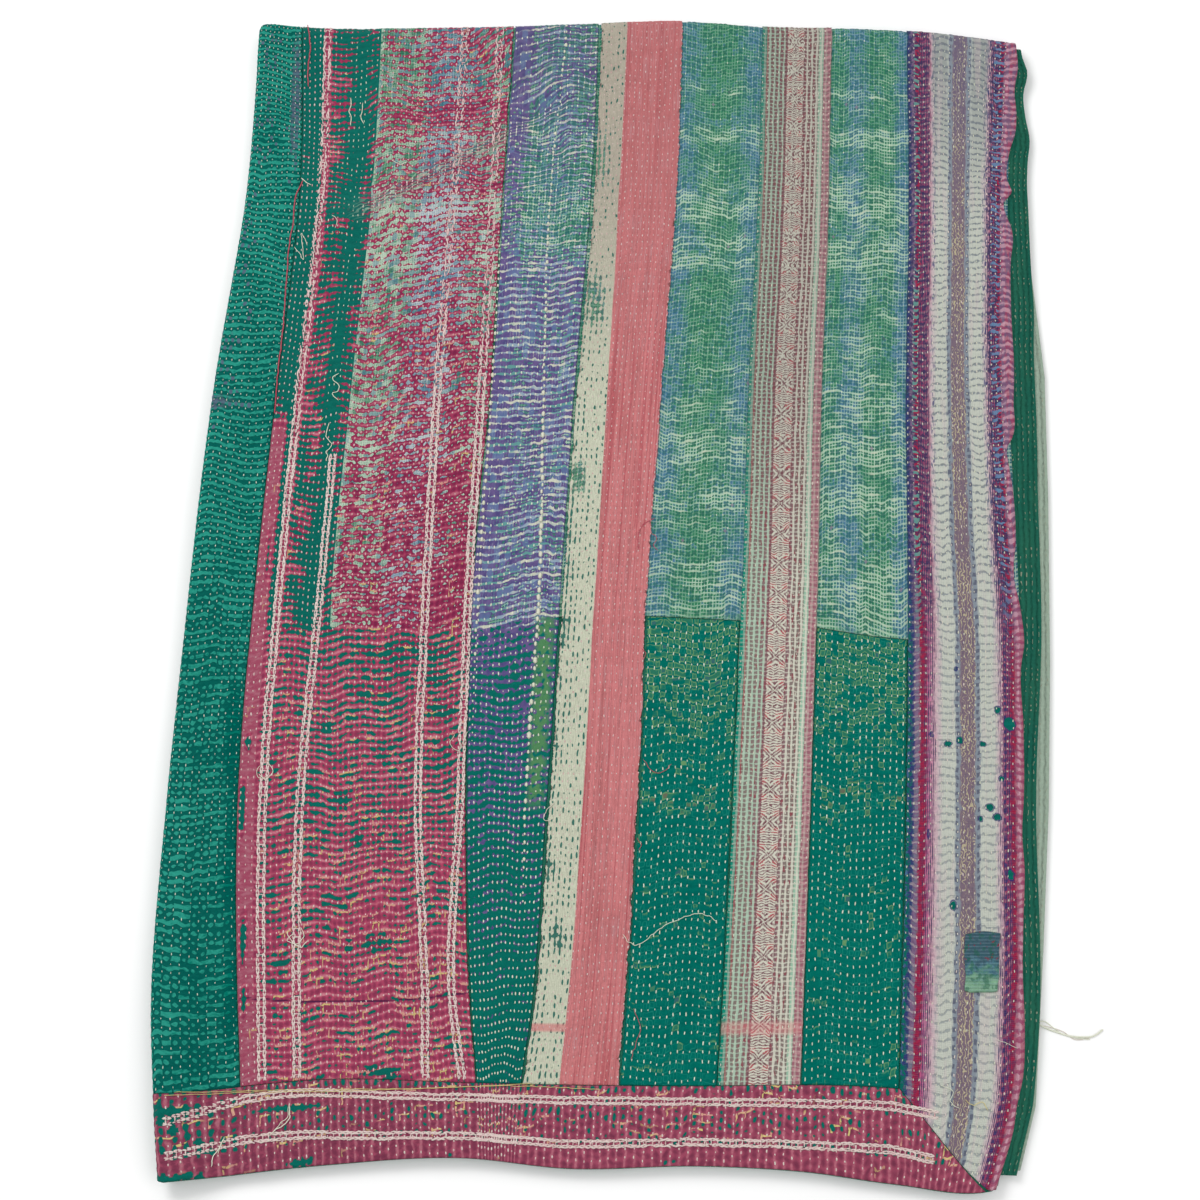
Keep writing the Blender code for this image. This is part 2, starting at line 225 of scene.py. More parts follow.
def soft_noise(u, v, seed):
    """Smooth noise from -1 to 1, one bump to a unit each way."""
    table = np.random.RandomState(seed).uniform(-1, 1, (256, 256))
    u, v = np.broadcast_arrays(np.asarray(u, float), np.asarray(v, float))
    i, j = np.floor(u).astype(int), np.floor(v).astype(int)
    a, b = u - i, v - j
    a, b = a * a * (3 - 2 * a), b * b * (3 - 2 * b)
    low = blend(table[i % 256, j % 256], table[(i + 1) % 256, j % 256], a)
    high = blend(table[i % 256, (j + 1) % 256], table[(i + 1) % 256, (j + 1) % 256], a)
    return blend(low, high, b)


def roll_gap(y):
    return ROLL_HALF_GAP * (1 + sum(share * np.sin(y / length) for share, length in ROLL_SWELLS))


def half_gap(x, y):
    """Half the pitch of the outer and the inner half."""
    roll = roll_gap(y)
    reach = (x - along("left_fold", y) - roll) / ROLL_WIDTH
    return FLAT_HALF_GAP + (roll - FLAT_HALF_GAP) * fade(reach)


def core_radius(x, y):
    """Half the height from the lower doubled layer to the upper one."""
    return half_gap(x, y) + CORE_GAP + FAR_ROLL * fade((TANGENT_Y - y) / FAR_ROLL_WIDTH)


def beside(x, y, line):
    """How far along a line (x0, y0, x1, y1) a place lies, how far left of it, and its length."""
    x0, y0, x1, y1 = line
    length = math.hypot(x1 - x0, y1 - y0)
    step_x, step_y = (x1 - x0) / length, (y1 - y0) / length
    reach = (x - x0) * step_x + (y - y0) * step_y
    return reach, (y - y0) * step_x - (x - x0) * step_y, length


def lift(x, y):
    """How far the top layer stands off the one under it, over its ridges."""
    total = np.zeros_like(x)
    for *line, height, half_width in RIDGES:
        reach, off, length = beside(x, y, line)
        away = np.hypot(reach - np.clip(reach, 0, length), off) / half_width
        away = np.where((off > 0) & (height > STEEP_RIDGE), away * 1.5, away)
        total += height * np.exp(-away * away)
    for height, size_x, size_y, seed in RUMPLES:
        total += height * soft_noise(x / size_x, y / size_y, seed)
    calm_x, width, left_over = BORDER_CALM
    total *= blend(left_over, 1, fade((x - calm_x) / width))
    total *= 1 - fade((TANGENT_Y - y) / FAR_CLEARANCE)
    total *= 1 - fade((x - along("left_fold", y) - ROLL_HALF_GAP) / LEFT_CLEARANCE)
    return total * (1 - fade((y - HEM_Y) / HEM_CLEARANCE))


def row_y(nominal, x, setback):
    """Y of a cross row at x: the far fold, the seams and the hem bend the rows near them."""
    centre = across("far_fold", x) - core_radius(x, TANGENT_Y) - half_gap(x, TANGENT_Y)
    bends = (
        # nominal Y of a cross row, Y where it lies
        (HEM_Y, across("hem", x) + setback),
        (BORDER_Y, across("border_top", x)),
        (-300.0, -300.0),
        (-160.0, -160.0),
        (SEAM_Y, across("plaid_seam", x)),
        (110.0, 110.0),
        (300.0, 300.0),
        (TANGENT_Y, centre),
    )
    y = np.zeros(np.broadcast(nominal, x).shape) + bends[0][1]
    for (low, low_y), (high, high_y) in zip(bends, bends[1:]):
        share = np.clip((nominal - low) / (high - low), 0, 1)
        y = np.where(nominal > low, blend(low_y, high_y, share), y)
    return y


def stitch_at(nominal):
    """The length of a running stitch and its gap at a nominal Y."""
    return STITCH_AT_MIDDLE - STITCH_SHORTENS * nominal


def count_of(nominal):
    """How many stitches from the near hem a cross row lies."""
    return np.log(stitch_at(HEM_Y) / stitch_at(nominal)) / STITCH_SHORTENS


def nominal_of(count):
    """The nominal Y of a count; beyond the crosswise fold it stays at the fold."""
    count = np.minimum(count, FAR_COUNT)
    shorter = stitch_at(HEM_Y) * np.exp(-STITCH_SHORTENS * count)
    return (STITCH_AT_MIDDLE - shorter) / STITCH_SHORTENS


FAR_COUNT, SEAM_COUNT, BORDER_COUNT = (float(count_of(y)) for y in (TANGENT_Y, SEAM_Y, BORDER_Y))
FAR_STITCH = stitch_at(TANGENT_Y)


def line_places(nominal, down):
    """X of every line of the top face at some cross rows, and the lines' row numbers."""
    xs = []
    for line in ROW_ON:
        x = blend(along(line, nominal), along(LOWER_LINES.get(line, line), nominal), down)
        if line == "left_fold":
            x = x + LOWER_INSET * down + roll_gap(nominal)
        xs.append(x)
    return np.stack(xs), np.array(list(ROW_ON.values()), float)


def row_x(row, nominal, down):
    """X of a stitch row where it crosses a nominal Y, on the flat part of the top face."""
    row, nominal, down = np.broadcast_arrays(row, nominal, down)
    xs, numbers = line_places(nominal, down)
    i = np.clip(np.searchsorted(numbers, row, side="right") - 1, 0, len(numbers) - 2)
    share = np.clip((row - numbers[i]) / (numbers[i + 1] - numbers[i]), 0, 1.1)
    first = np.take_along_axis(xs, i[None], 0)[0]
    second = np.take_along_axis(xs, (i + 1)[None], 0)[0]
    return blend(first, second, share)


def top_x(row, nominal):
    """X of a row on the top face, at the lengthwise fold for the rows that go round it."""
    return row_x(np.maximum(row, 0), nominal, 0.0)


def row_at(x, nominal):
    """The row number at a place on the top face."""
    x, nominal = np.broadcast_arrays(np.asarray(x, float), np.asarray(nominal, float))
    xs, numbers = line_places(nominal, 0.0)
    flat = xs.reshape(len(numbers), -1)
    found = [np.interp(place, flat[:, k], numbers) for k, place in enumerate(x.ravel())]
    return np.array(found).reshape(x.shape)


def sheet_place(x_flat, nominal, far_turn, roll_turn):
    """The quilted cloth's mid surface, from its place on the flat and its turn round each fold."""
    down = (1 - np.cos(far_turn)) / 2
    inner = (1 - np.cos(roll_turn)) / 2
    upper_set = blend(HEM_SETBACK["top"], HEM_SETBACK["second"], inner)
    lower_set = blend(HEM_SETBACK["lowest"], HEM_SETBACK["third"], inner)
    y = row_y(nominal, x_flat, blend(upper_set, lower_set, down))
    gap = half_gap(x_flat, nominal)
    radius = core_radius(x_flat, nominal)
    reach = radius + gap * np.cos(roll_turn)
    z = CLOTH / 2 + radius + gap + reach * np.cos(far_turn)
    on_top = (far_turn <= 0) & (roll_turn <= 0)
    z = z + np.where(on_top, lift(x_flat, y), 0)
    return np.stack([x_flat - gap * np.sin(roll_turn), y + reach * np.sin(far_turn), z], axis=-1)


def far_reach(row):
    """Radius of the face of the quilt round the crosswise fold, at a row."""
    x = top_x(row, TANGENT_Y)
    return core_radius(x, TANGENT_Y) + half_gap(x, TANGENT_Y) + CLOTH / 2


def face_mid(row, count):
    """The quilted cloth's mid surface under a place on the face."""
    row, count = np.broadcast_arrays(np.asarray(row, float), np.asarray(count, float))
    far_turn = np.maximum(count - FAR_COUNT, 0) * FAR_STITCH / far_reach(row)
    nominal = nominal_of(count)
    roll_turn = np.maximum(-row, 0) * ROW_PITCH / (roll_gap(nominal) + CLOTH / 2)
    x = row_x(np.maximum(row, 0), nominal, (1 - np.cos(far_turn)) / 2)
    return sheet_place(x, nominal, far_turn, roll_turn)


def face_place(row, count, stand):
    """A point a given distance off the mid surface, and the outward direction there."""
    side = face_mid(row + 0.2, count) - face_mid(row - 0.2, count)
    ahead = face_mid(row, count + 0.15) - face_mid(row, count - 0.15)
    normal = np.cross(side, ahead)
    normal /= np.linalg.norm(normal, axis=-1, keepdims=True)
    return face_mid(row, count) + normal * np.asarray(stand)[..., None], normal


def taken_up(row, count):
    """Stitches taken up by the creases between the near hem and a place."""
    nominal = nominal_of(count)
    x = top_x(row, nominal)
    y = row_y(nominal, x, 0.0) + np.maximum(count - FAR_COUNT, 0) * FAR_STITCH
    total = np.zeros(x.shape)
    for *line, stitches, half_width in CREASES:
        reach, off, length = beside(x, y, line)
        ends = fade(0.5 - reach / length / 0.24) * fade((reach / length - 0.88) / 0.24)
        total += stitches * ends * fade((half_width - off) / (2 * half_width))
    return total


def stitch_phase(row, count):
    """Whole on the stitches, whose lines lean, wave and jump a little from row to row."""
    row, count = np.broadcast_arrays(np.asarray(row, float), np.asarray(count, float))
    lean = through(row, *zip(*LEAN))
    waves = 0.5 * soft_noise(row / 7, count / 9, 11) + 0.22 * np.sin(0.55 * row + 0.09 * count)
    jumps = through(row, *zip(*UNEVEN)) * soft_noise(row, count / 11, 23)
    return count + taken_up(row, count) - lean - waves - jumps


def pucker(row, count):
    """Height of the cloth between its stitches, from 0 at a stitch to 1 where it puffs up."""
    between_rows = 0.5 + 0.5 * np.cos(2 * math.pi * row)
    between_stitches = 0.5 - 0.5 * np.cos(2 * math.pi * stitch_phase(row, count))
    height = 0.25 * between_rows + (0.45 + 0.3 * between_rows) * between_stitches
    return height * (0.8 + 0.25 * soft_noise(row / 1.3, count / 0.9, 31))


PLAID_EDGE_ROWS, PLAID_EDGE_STITCHES = 2, 1.7  # within which a strip climbs onto the plaid panel


def over_plaid(row, count):
    """1 where a strip lies on the plaid panel, and 0 clear of it."""
    right_of_edge = fade((ROW_ON["plaid_left"] - row) / PLAID_EDGE_ROWS)
    return right_of_edge * fade((SEAM_COUNT - count) / PLAID_EDGE_STITCHES)


def mitre_row(count):
    """The row of the mitred seam where it crosses a count, from the border's top to the hem."""
    nominal = nominal_of(np.asarray(count, float))
    share = np.clip((nominal - BORDER_Y) / (HEM_Y - BORDER_Y), 0, 1)
    return row_at(blend(MITRE_X[0], MITRE_X[1], share), nominal)


# ---- Sheets of cloth ----

ROW_SPACING, STITCH_SPACING = 0.5, 0.25  # from point to point on a face, in rows and in stitches
UNDER_STEP = 4  # the underside of a sheet has one point for this many of the face


def marks(start, end, spacing):
    """Evenly spaced marks whose spaces number a multiple of the underside's step."""
    spaces = UNDER_STEP * max(1, round(abs(end - start) / (spacing * UNDER_STEP)))
    return np.linspace(start, end, spaces + 1)


def joined_marks(stops, spacings, every=1):
    """Marks over stretches that meet end to end, of which one in every so many is kept."""
    stretches = [marks(*each)[::every][1:] for each in zip(stops, stops[1:], spacings)]
    return np.concatenate([[float(stops[0])], *stretches])


def add_object(name, data):
    obj = bpy.data.objects.new(name, data)
    bpy.context.scene.collection.objects.link(obj)
    return obj


def vertex_values(mesh, name, values):
    layer = mesh.attributes.new(name, "FLOAT", "POINT")
    layer.data.foreach_set("value", values.astype(np.float32).ravel())


def closed_sheet(name, face, under, step, layers):
    """A closed thin sheet from two lattices of points; layers hold a value for each face point."""
    rows, columns = face.shape[:2]
    under_rows, under_columns = under.shape[:2]
    top = np.arange(rows * columns).reshape(rows, columns)
    low = rows * columns + np.arange(under_rows * under_columns).reshape(under_rows, under_columns)

    def quads(grid):
        return np.stack([grid[:-1, :-1], grid[:-1, 1:], grid[1:, 1:], grid[1:, :-1]], axis=-1)

    loops = [quads(top).reshape(-1, 4), quads(low)[..., ::-1].reshape(-1, 4)]
    walls = []
    for side in (np.s_[0, ::-1], np.s_[-1, :], np.s_[:, 0], np.s_[::-1, -1]):
        upper, lower = top[side], low[side]
        for k in range(len(lower) - 1):
            walls.append([*upper[k * step : (k + 1) * step + 1], lower[k + 1], lower[k]])
    walls = np.array(walls)
    sizes = [4] * (len(loops[0]) + len(loops[1])) + [walls.shape[1]] * len(walls)
    corners = np.concatenate([part.ravel() for part in (*loops, walls)])
    points = np.concatenate([face.reshape(-1, 3), under.reshape(-1, 3)])

    mesh = bpy.data.meshes.new(name)
    mesh.vertices.add(len(points))
    mesh.vertices.foreach_set("co", ((points + PLAN_TO_FRAME) * MM).astype(np.float32).ravel())
    mesh.loops.add(len(corners))
    mesh.loops.foreach_set("vertex_index", corners.astype(np.int32))
    mesh.polygons.add(len(sizes))
    starts = np.concatenate([[0], np.cumsum(sizes)[:-1]])
    mesh.polygons.foreach_set("loop_start", starts.astype(np.int32))
    mesh.polygons.foreach_set("loop_total", np.array(sizes, np.int32))
    mesh.update(calc_edges=True)
    mesh.shade_smooth()

    def everywhere(values):
        return np.concatenate([values.ravel(), values[::step, ::step].ravel()])

    for map_name, (first, second) in layers["maps"].items():
        uv = np.stack([everywhere(first), everywhere(second)], axis=-1)[corners]
        layer = mesh.uv_layers.new(name=map_name)
        layer.uv.foreach_set("vector", uv.astype(np.float32).ravel())
    for attribute, values in layers["values"].items():
        vertex_values(mesh, attribute, everywhere(values))
    return add_object(name, mesh)


def frayed(count, seed, scallop):
    """How far an edge is drawn in from its seam line: scalloped between its stitches."""
    loose = 0.5 + 0.5 * soft_noise(count / 0.7, seed, 41)
    wander = 0.5 + 0.5 * soft_noise(count / 9, seed, 43)
    bites = 0.5 + 0.5 * np.cos(2 * math.pi * stitch_phase(round(seed), count))
    return EDGE + scallop * (0.6 * loose**2 + 0.35 * wander + 0.25 * bites)


def lay_piece(
    name, rows, counts, stand, thickness, relief=1.0, scallops=(0.8, 0.8), values=None, span=None
):
    """One sheet of face cloth between two rows and two counts, puckered by its stitches.

    rows and counts are lattices of row numbers and stitch counts; stand is how far the sheet's
    underside is off the quilted cloth's mid surface, as a function of them.
    """
    rows = rows.copy()
    rows[:, 0] += frayed(counts[:, 0], 3.3 + rows[0, 0], scallops[0]) / ROW_PITCH
    rows[:, -1] -= frayed(counts[:, -1], 7.7 + rows[0, -1], scallops[1]) / ROW_PITCH
    base = stand(rows, counts)
    height = pucker(rows, counts) * relief * PUCKER
    face, _ = face_place(rows, counts, base + thickness + height)
    under_rows, under_counts = rows[::UNDER_STEP, ::UNDER_STEP], counts[::UNDER_STEP, ::UNDER_STEP]
    under, _ = face_place(under_rows, under_counts, base[::UNDER_STEP, ::UNDER_STEP])
    nominal = nominal_of(counts)
    run = nominal + np.maximum(counts - FAR_COUNT, 0) * FAR_STITCH
    left, right = span or (rows.min(), rows.max())
    share = (rows - left) / (right - left)
    layers = {
        "maps": {"rows": (rows, stitch_phase(rows, counts)), "weave": (share, run * MM)},
        "values": values(rows, nominal) if values else {},
    }
    return closed_sheet(name, face, under, UNDER_STEP, layers)


def field(row_marks, near, far=FAR_COUNT):
    """Lattices of rows and counts over a piece, and round the crosswise fold if it gets there."""
    shares = np.linspace(0, 1, len(marks(np.min(near), far, STITCH_SPACING)))[:, None]
    counts = blend(near, far, shares) + np.zeros(len(row_marks))
    if far == FAR_COUNT:
        shares = np.linspace(0, 1, 3 * UNDER_STEP + 1)[1:, None]
        arc = ARC_TURN * far_reach(row_marks) / FAR_STITCH
        counts = np.concatenate([counts, FAR_COUNT + shares * arc])
    return np.tile(row_marks, (len(counts), 1)), counts


NEAR_GAP = EDGE / 8  # the same gap along a cross seam, in stitches


def on_ground(rows, counts):
    return np.full(np.shape(rows), CLOTH / 2 + SEAT)


def on_plaid(rows, counts):
    return CLOTH / 2 + SEAT + (PIECE + SEAT) * over_plaid(rows, counts)


def against_ground(rows, counts):
    return np.full(np.shape(rows), CLOTH / 2 + FACE_SEAT)


def spots(rows, nominal, table):
    """Soft worn spots listed in a table: X, Y, half width, half length and how strong each is."""
    x = top_x(rows, nominal)
    total = np.zeros(np.shape(rows))
    for centre_x, centre_y, half_x, half_y, strength in table:
        away = ((x - centre_x) / half_x) ** 2 + ((nominal - centre_y) / half_y) ** 2
        total += strength * np.exp(-(away**2))
    return total


def read_down(nominal, table):
    """A value read down the length of a piece from a table of (Y, value)."""
    stations, values = zip(*table)
    return through(nominal, stations, values)


# How far the open edges swing out from their lines, in millimetres by Y
TOP_EDGE_WAVES = (
    (600, 2), (571, 5.5), (544, 3.6), (517, 6.5), (491, 5.5), (478, 2), (464, -0.5), (451, -2),
    (438, -1), (425, 4), (412, -4.5), (399, -2), (386, 3.5), (373, 6), (347, 4), (296, 4),
    (221, 6), (196, 4.7), (159, 2), (147, -4.5), (135, -3.8), (110, -1), (62, -0.5), (26, -4),
    (3, 0.4), (-33, 3.7), (-56, 0.6), (-125, 2.5), (-194, 2.6), (-227, 0.7), (-261, 2.5),
    (-305, 0.7), (-349, 0), (-403, 3.4), (-435, 2.8), (-456, 0), (-487, 3), (-530, 4),
)  # fmt: skip
SECOND_EDGE_WAVES = (
    (600, -7), (584, -5), (571, -1), (544, -5.5), (517, -4.5), (491, -1.5), (464, -4.5), (438, -6),
    (412, -5.6), (360, -4), (322, -1.8), (300, 0), (250, 0.5), (200, 2), (150, 2), (100, 0.5),
    (60, 0), (0, 0), (-100, 0), (-300, 0), (-500, 0), (-530, 0),
)  # fmt: skip

# How worn each piece is, from 0, whole, to 1, gone: down its length by Y, or across it by row
LEFT_GREEN_WORN = ((600, 0.4), (300, 0.38), (0, 0.38), (-200, 0.42), (-400, 0.46), (-530, 0.42))
UPPER_LEFT_WORN = (
    (8, 1.5), (13.0, 1.5), (13.4, 0.2), (14.7, 0.2), (15.1, 0.86), (18.4, 0.92), (20.0, 1.4),
    (21.4, 1.4), (22.2, 0.96), (25, 0.84),
)  # fmt: skip
OVER_PLAID_WORN = (
    (605, 0.69), (575, 0.61), (555, 0.73), (530, 0.71), (515, 0.47), (490, 0.47), (470, 0.69),
    (440, 0.65), (420, 0.55), (408, 0.79), (385, 0.65), (350, 0.64), (300, 0.68), (265, 0.52),
    (220, 0.55), (170, 0.53), (130, 0.41), (90, 0.35), (50, 0.37), (0, 0.31), (-40, 0.31),
)  # fmt: skip
LOWER_WORN = (
    (-30, 0.62), (-60, 0.58), (-100, 0.6), (-140, 0.52), (-180, 0.56), (-230, 0.5), (-260, 0.46),
    (-290, 0.5), (-320, 0.38), (-350, 0.44), (-380, 0.36), (-410, 0.4), (-440, 0.36), (-460, 0.32),
)  # fmt: skip
PURPLE_WORN = (
    (605, 0.66), (540, 0.66), (470, 0.72), (430, 0.92), (370, 0.86), (345, 0.56), (240, 0.4),
    (60, 0.42), (-30, 0.46), (-60, 0.62), (-140, 0.72), (-200, 0.82), (-255, 1.0), (-460, 1.25),
)  # fmt: skip
FLECKED = (
    (-460, 0.94), (-445, 1.19), (-400, 0.75), (-385, 0.94), (-345, 1.0), (-325, 0.62),
    (-300, 0.75), (-280, 0.94), (-262, 0.56), (-245, 0.94), (-225, 0.62), (-195, 0.56),
    (-170, 0.75), (-150, 0.44), (-120, 0.62), (-100, 0.35), (-60, 0.3), (0, 0.35), (100, 0.4),
    (300, 0.35), (600, 0.3),
)  # fmt: skip
MAGENTA_SPOTS = (
    (-252, -127, 7, 6, 0.7), (-221, -234, 5, 7, 0.6), (-235, -194, 8, 9, 0.5),
    (-150, -78, 16, 8, 0.4), (-175, -52, 40, 14, 0.25), (-128, -290, 5, 30, 0.3),
    (-148, -112, 14, 8, 0.4), (-200, -330, 16, 9, 0.4), (-226, -334, 4, 7, 0.5),
    (-196, -448, 20, 5, 0.7), (-289, -395, 6, 8, 0.4), (-285, -350, 6, 20, 0.3),
    (-128, -425, 6, 8, 0.4), (-205, -150, 60, 12, 0.15),
)  # fmt: skip
MARGIN_SPOTS = (
    (-312, 40, 2.2, 26, 1.3), (-326.5, -205, 3, 27, 2.2), (-320.5, -326, 3, 22, 2.2),
    (-323, -142, 2.6, 8, 2.0), (-318, -380, 3, 14, 1.6),
)  # fmt: skip
CREAM_SPOTS = (
    (2, 452, 8, 26, 0.6), (-2, 478, 4, 8, 0.4), (-4, 300, 9, 30, 0.9), (-20, 118, 7, 17, 0.9),
    (-38, -322, 7, 14, 0.7), (-34, 20, 9, 14, 0.3), (-44, -150, 9, 20, 0.25),
    (-36, -42, 8, 22, 0.4), (-30, 60, 8, 20, 0.3), (-47, -262, 7, 9, 0.5),
)  # fmt: skip
CREAM_OVER_PLAID = ((-4, 300, 14, 36, 1.5), (-20, 118, 12, 22, 1.5), (4, 455, 12, 40, 1.2))
SIDE_SPOTS = (
    (320, -141, 4, 3, 1.0), (331, -137, 3, 4, 1.0), (352, -141, 3, 3, 1.0),
    (367, -104, 2.5, 5, 0.9), (378, -120, 5, 7, 1.1), (356, -203, 3.5, 4, 1.0),
    (362, -212, 4, 4, 0.9), (372, -266, 2.5, 6, 1.0), (319, -294, 3, 5, 0.9),
    (376, -117, 3, 5, 0.8), (347, -214, 2.5, 3, 0.8), (305, -131, 2, 4, 0.6),
    (330, -60, 2, 3, 0.6), (368, -176, 3, 3, 0.8), (299, -228, 2, 6, 0.5),
)  # fmt: skip
BOTTOM_WORN = (
    # across the border by nominal Y
    (-532, -0.5), (-513, -0.5), (-509, 0.26), (-502, 0.24), (-496, 0.3), (-480, 0.32),
    (-474, 0.26), (-467, 0.15), (-464, 0.1), (-460, 0.42), (-454, 0.6),
)  # fmt: skip
BOTTOM_SPOTS = (
    (-375, -492, 40, 30, 0.34), (-352, -512, 36, 4, 0.5), (-396, -470, 26, 7, 0.5),
    (-330, -497, 46, 9, 0.16), (-20, -480, 60, 12, 0.12), (-275, -478, 36, 2.4, 0.8),
    (-372, -470, 24, 8, 0.35), (-320, -464, 30, 4, 0.3), (-378, -528, 46, 8, 1.8),
    (-262, -526, 16, 8, 1.7), (-130, -526, 8, 4, 1.2), (60, -526, 14, 4, 1.2),
    (180, -508, 160, 3, 0.25), (255, -462, 60, 5, 0.2),
)  # fmt: skip
VIOLET_SPOTS = (
    (-302, 520, 6, 90, 0.75), (-330, 520, 14, 120, 0.25), (-350, 330, 12, 110, 0.35),
    (-362, 192, 30, 9, 0.45), (-366, 230, 14, 60, 0.3), (-345, 480, 30, 100, 0.12),
)  # fmt: skip
LEFT_FOLD_SPOTS = (
    (-338, -130, 7, 50, 0.5), (-334, -240, 8, 80, 0.4), (-330, -370, 7, 60, 0.35),
    (-385, -300, 10, 120, -0.2),
)  # fmt: skip
# The dark seam low on the magenta panel: X, Y
SEWN_SEAM = ((-315, -378), (-268, -383), (-223, -384), (-179, -382), (-116, -374))


def worn_left_green(rows, nominal):
    worn = read_down(nominal, LEFT_GREEN_WORN) + 0.14 * soft_noise(rows / 4, nominal / 40, 51)
    worn += spots(rows, nominal, LEFT_FOLD_SPOTS)
    return {"worn": worn, "tint": spots(rows, nominal, VIOLET_SPOTS)}


def above_seam(nominal):
    """0.5 on the seam between the plaid and the green, and more above it."""
    return 0.5 + (nominal - SEAM_Y) / 20


def gathered_fold(rows, nominal):
    """Beside the long crease: how many pleats off it each point lies, and how tight it is there."""
    x = top_x(rows, nominal)
    reach, off, _ = beside(x, row_y(nominal, x, 0.0), CREASES[0][:4])
    tight = np.exp(-((off / 7.5) ** 2)) * fade((22 - reach) / 40) * fade((reach - 190) / 60)
    return {"pleat": off / 3.6, "tight": tight}


def worn_magenta(rows, nominal):
    upper = fade((SEAM_Y - nominal) / 6)
    left_of_plaid = fade((rows - ROW_ON["plaid_left"]) / 1.2)
    over = read_down(nominal, OVER_PLAID_WORN) + 0.05 + 0.1 * fade((rows - 28) / 6)
    over -= 0.1 * fade((43 - rows) / 6)
    left = np.interp(rows, *zip(*UPPER_LEFT_WORN)) + 0.36 * soft_noise(rows / 2, nominal / 12, 57)
    low = read_down(nominal, LOWER_WORN)
    plain = fade((rows - 11.6) / 0.8) * fade((nominal - 160) / 40)
    worn = blend(low, blend(over, left, left_of_plaid), upper)
    worn = np.where(rows < 12.4, blend(worn, -0.4, plain), worn)
    worn += spots(rows, nominal, MAGENTA_SPOTS) + spots(rows, nominal, MARGIN_SPOTS)
    worn += 0.1 * soft_noise(rows / 5, nominal / 30, 53)
    worn += 0.14 * (1 - upper) * soft_noise(rows / 2.4, nominal / 11, 55)
    flecked = read_down(nominal, FLECKED) * fade((15.5 - rows) / 1.5) * (1 - 0.3 * upper)
    x = top_x(rows, nominal)
    seam_y = through(x, *zip(*SEWN_SEAM))
    seam = np.exp(-(((nominal - seam_y) / 1.3) ** 2)) * fade((-320 - x) / 4) * fade((x + 112) / 6)
    to_plaid = np.minimum((rows - ROW_ON["plaid_left"]) / 6, above_seam(nominal) - 0.5)
    layers = {"worn": worn, "tint": 0.5 + to_plaid, "fleck": flecked, "seam": seam}
    return layers | gathered_fold(rows, nominal)


def worn_purple(rows, nominal):
    above = fade((SEAM_Y - nominal) / 8)
    whole_side = fade((rows - 51.5) / 2) * above
    worn = read_down(nominal, PURPLE_WORN) - 0.4 * whole_side
    worn += 0.1 * soft_noise(rows / 3, nominal / 40, 59)
    barred = above * (0.55 + 0.35 * fade((nominal - 330) / 60)) * (1 - 0.5 * whole_side)
    olive = fade(abs(rows - 62.6) - 1.0) * fade((nominal + 36) / 10) * fade((-190 - nominal) / 20)
    return {"worn": worn, "tint": barred, "fleck": above_seam(nominal), "olive": olive}


def worn_cream(rows, nominal):
    left = fade((rows - 65.5) / 3.5)
    lower = fade((nominal - 120) / 200)
    worn = (0.03 + 0.12 * lower) * (1 + left) * fade((rows - 71.2) / 0.8)
    worn = worn + spots(rows, nominal, CREAM_SPOTS)
    return {"worn": worn, "plaid_under": np.clip(spots(rows, nominal, CREAM_OVER_PLAID), 0, 1)}


def worn_side(rows, nominal):
    return {"worn": spots(rows, nominal, SIDE_SPOTS)}


def worn_bottom(rows, nominal):
    worn = read_down(nominal, BOTTOM_WORN) + spots(rows, nominal, BOTTOM_SPOTS)
    flecked = fade((-508 - nominal) / 4) * (1 - 0.4 * fade((nominal + 470) / 3))
    return {"worn": worn, "fleck": flecked}


def olive_cells(rows, nominal):
    thick = 0.4 * fade((-70 - nominal) / 130) - 0.3 + 0.25 * np.exp(-(((nominal + 196) / 14) ** 2))
    return {"tint": thick, "brown": np.exp(-(((nominal + 190) / 22) ** 2))}


# ---- Finishes ----

NOISE_GAIN, NOISE_START = 1.9, -0.45  # these spread a noise node's value over 0 to 1
BUMP_GAIN = 1.5
SPECULAR = 0.02
SHEEN_ROUGHNESS = 0.6
YARNS_TO_METRE = 1250


def new_node(tree, kind, inputs, **settings):
    """A new node with its settings, and its inputs set or linked."""
    node = tree.nodes.new(kind)
    for key, value in settings.items():
        setattr(node, key, value)
    for key, value in inputs.items():
        if isinstance(value, bpy.types.NodeSocket):
            tree.links.new(value, node.inputs[key])
        else:
            node.inputs[key].default_value = value
    return node


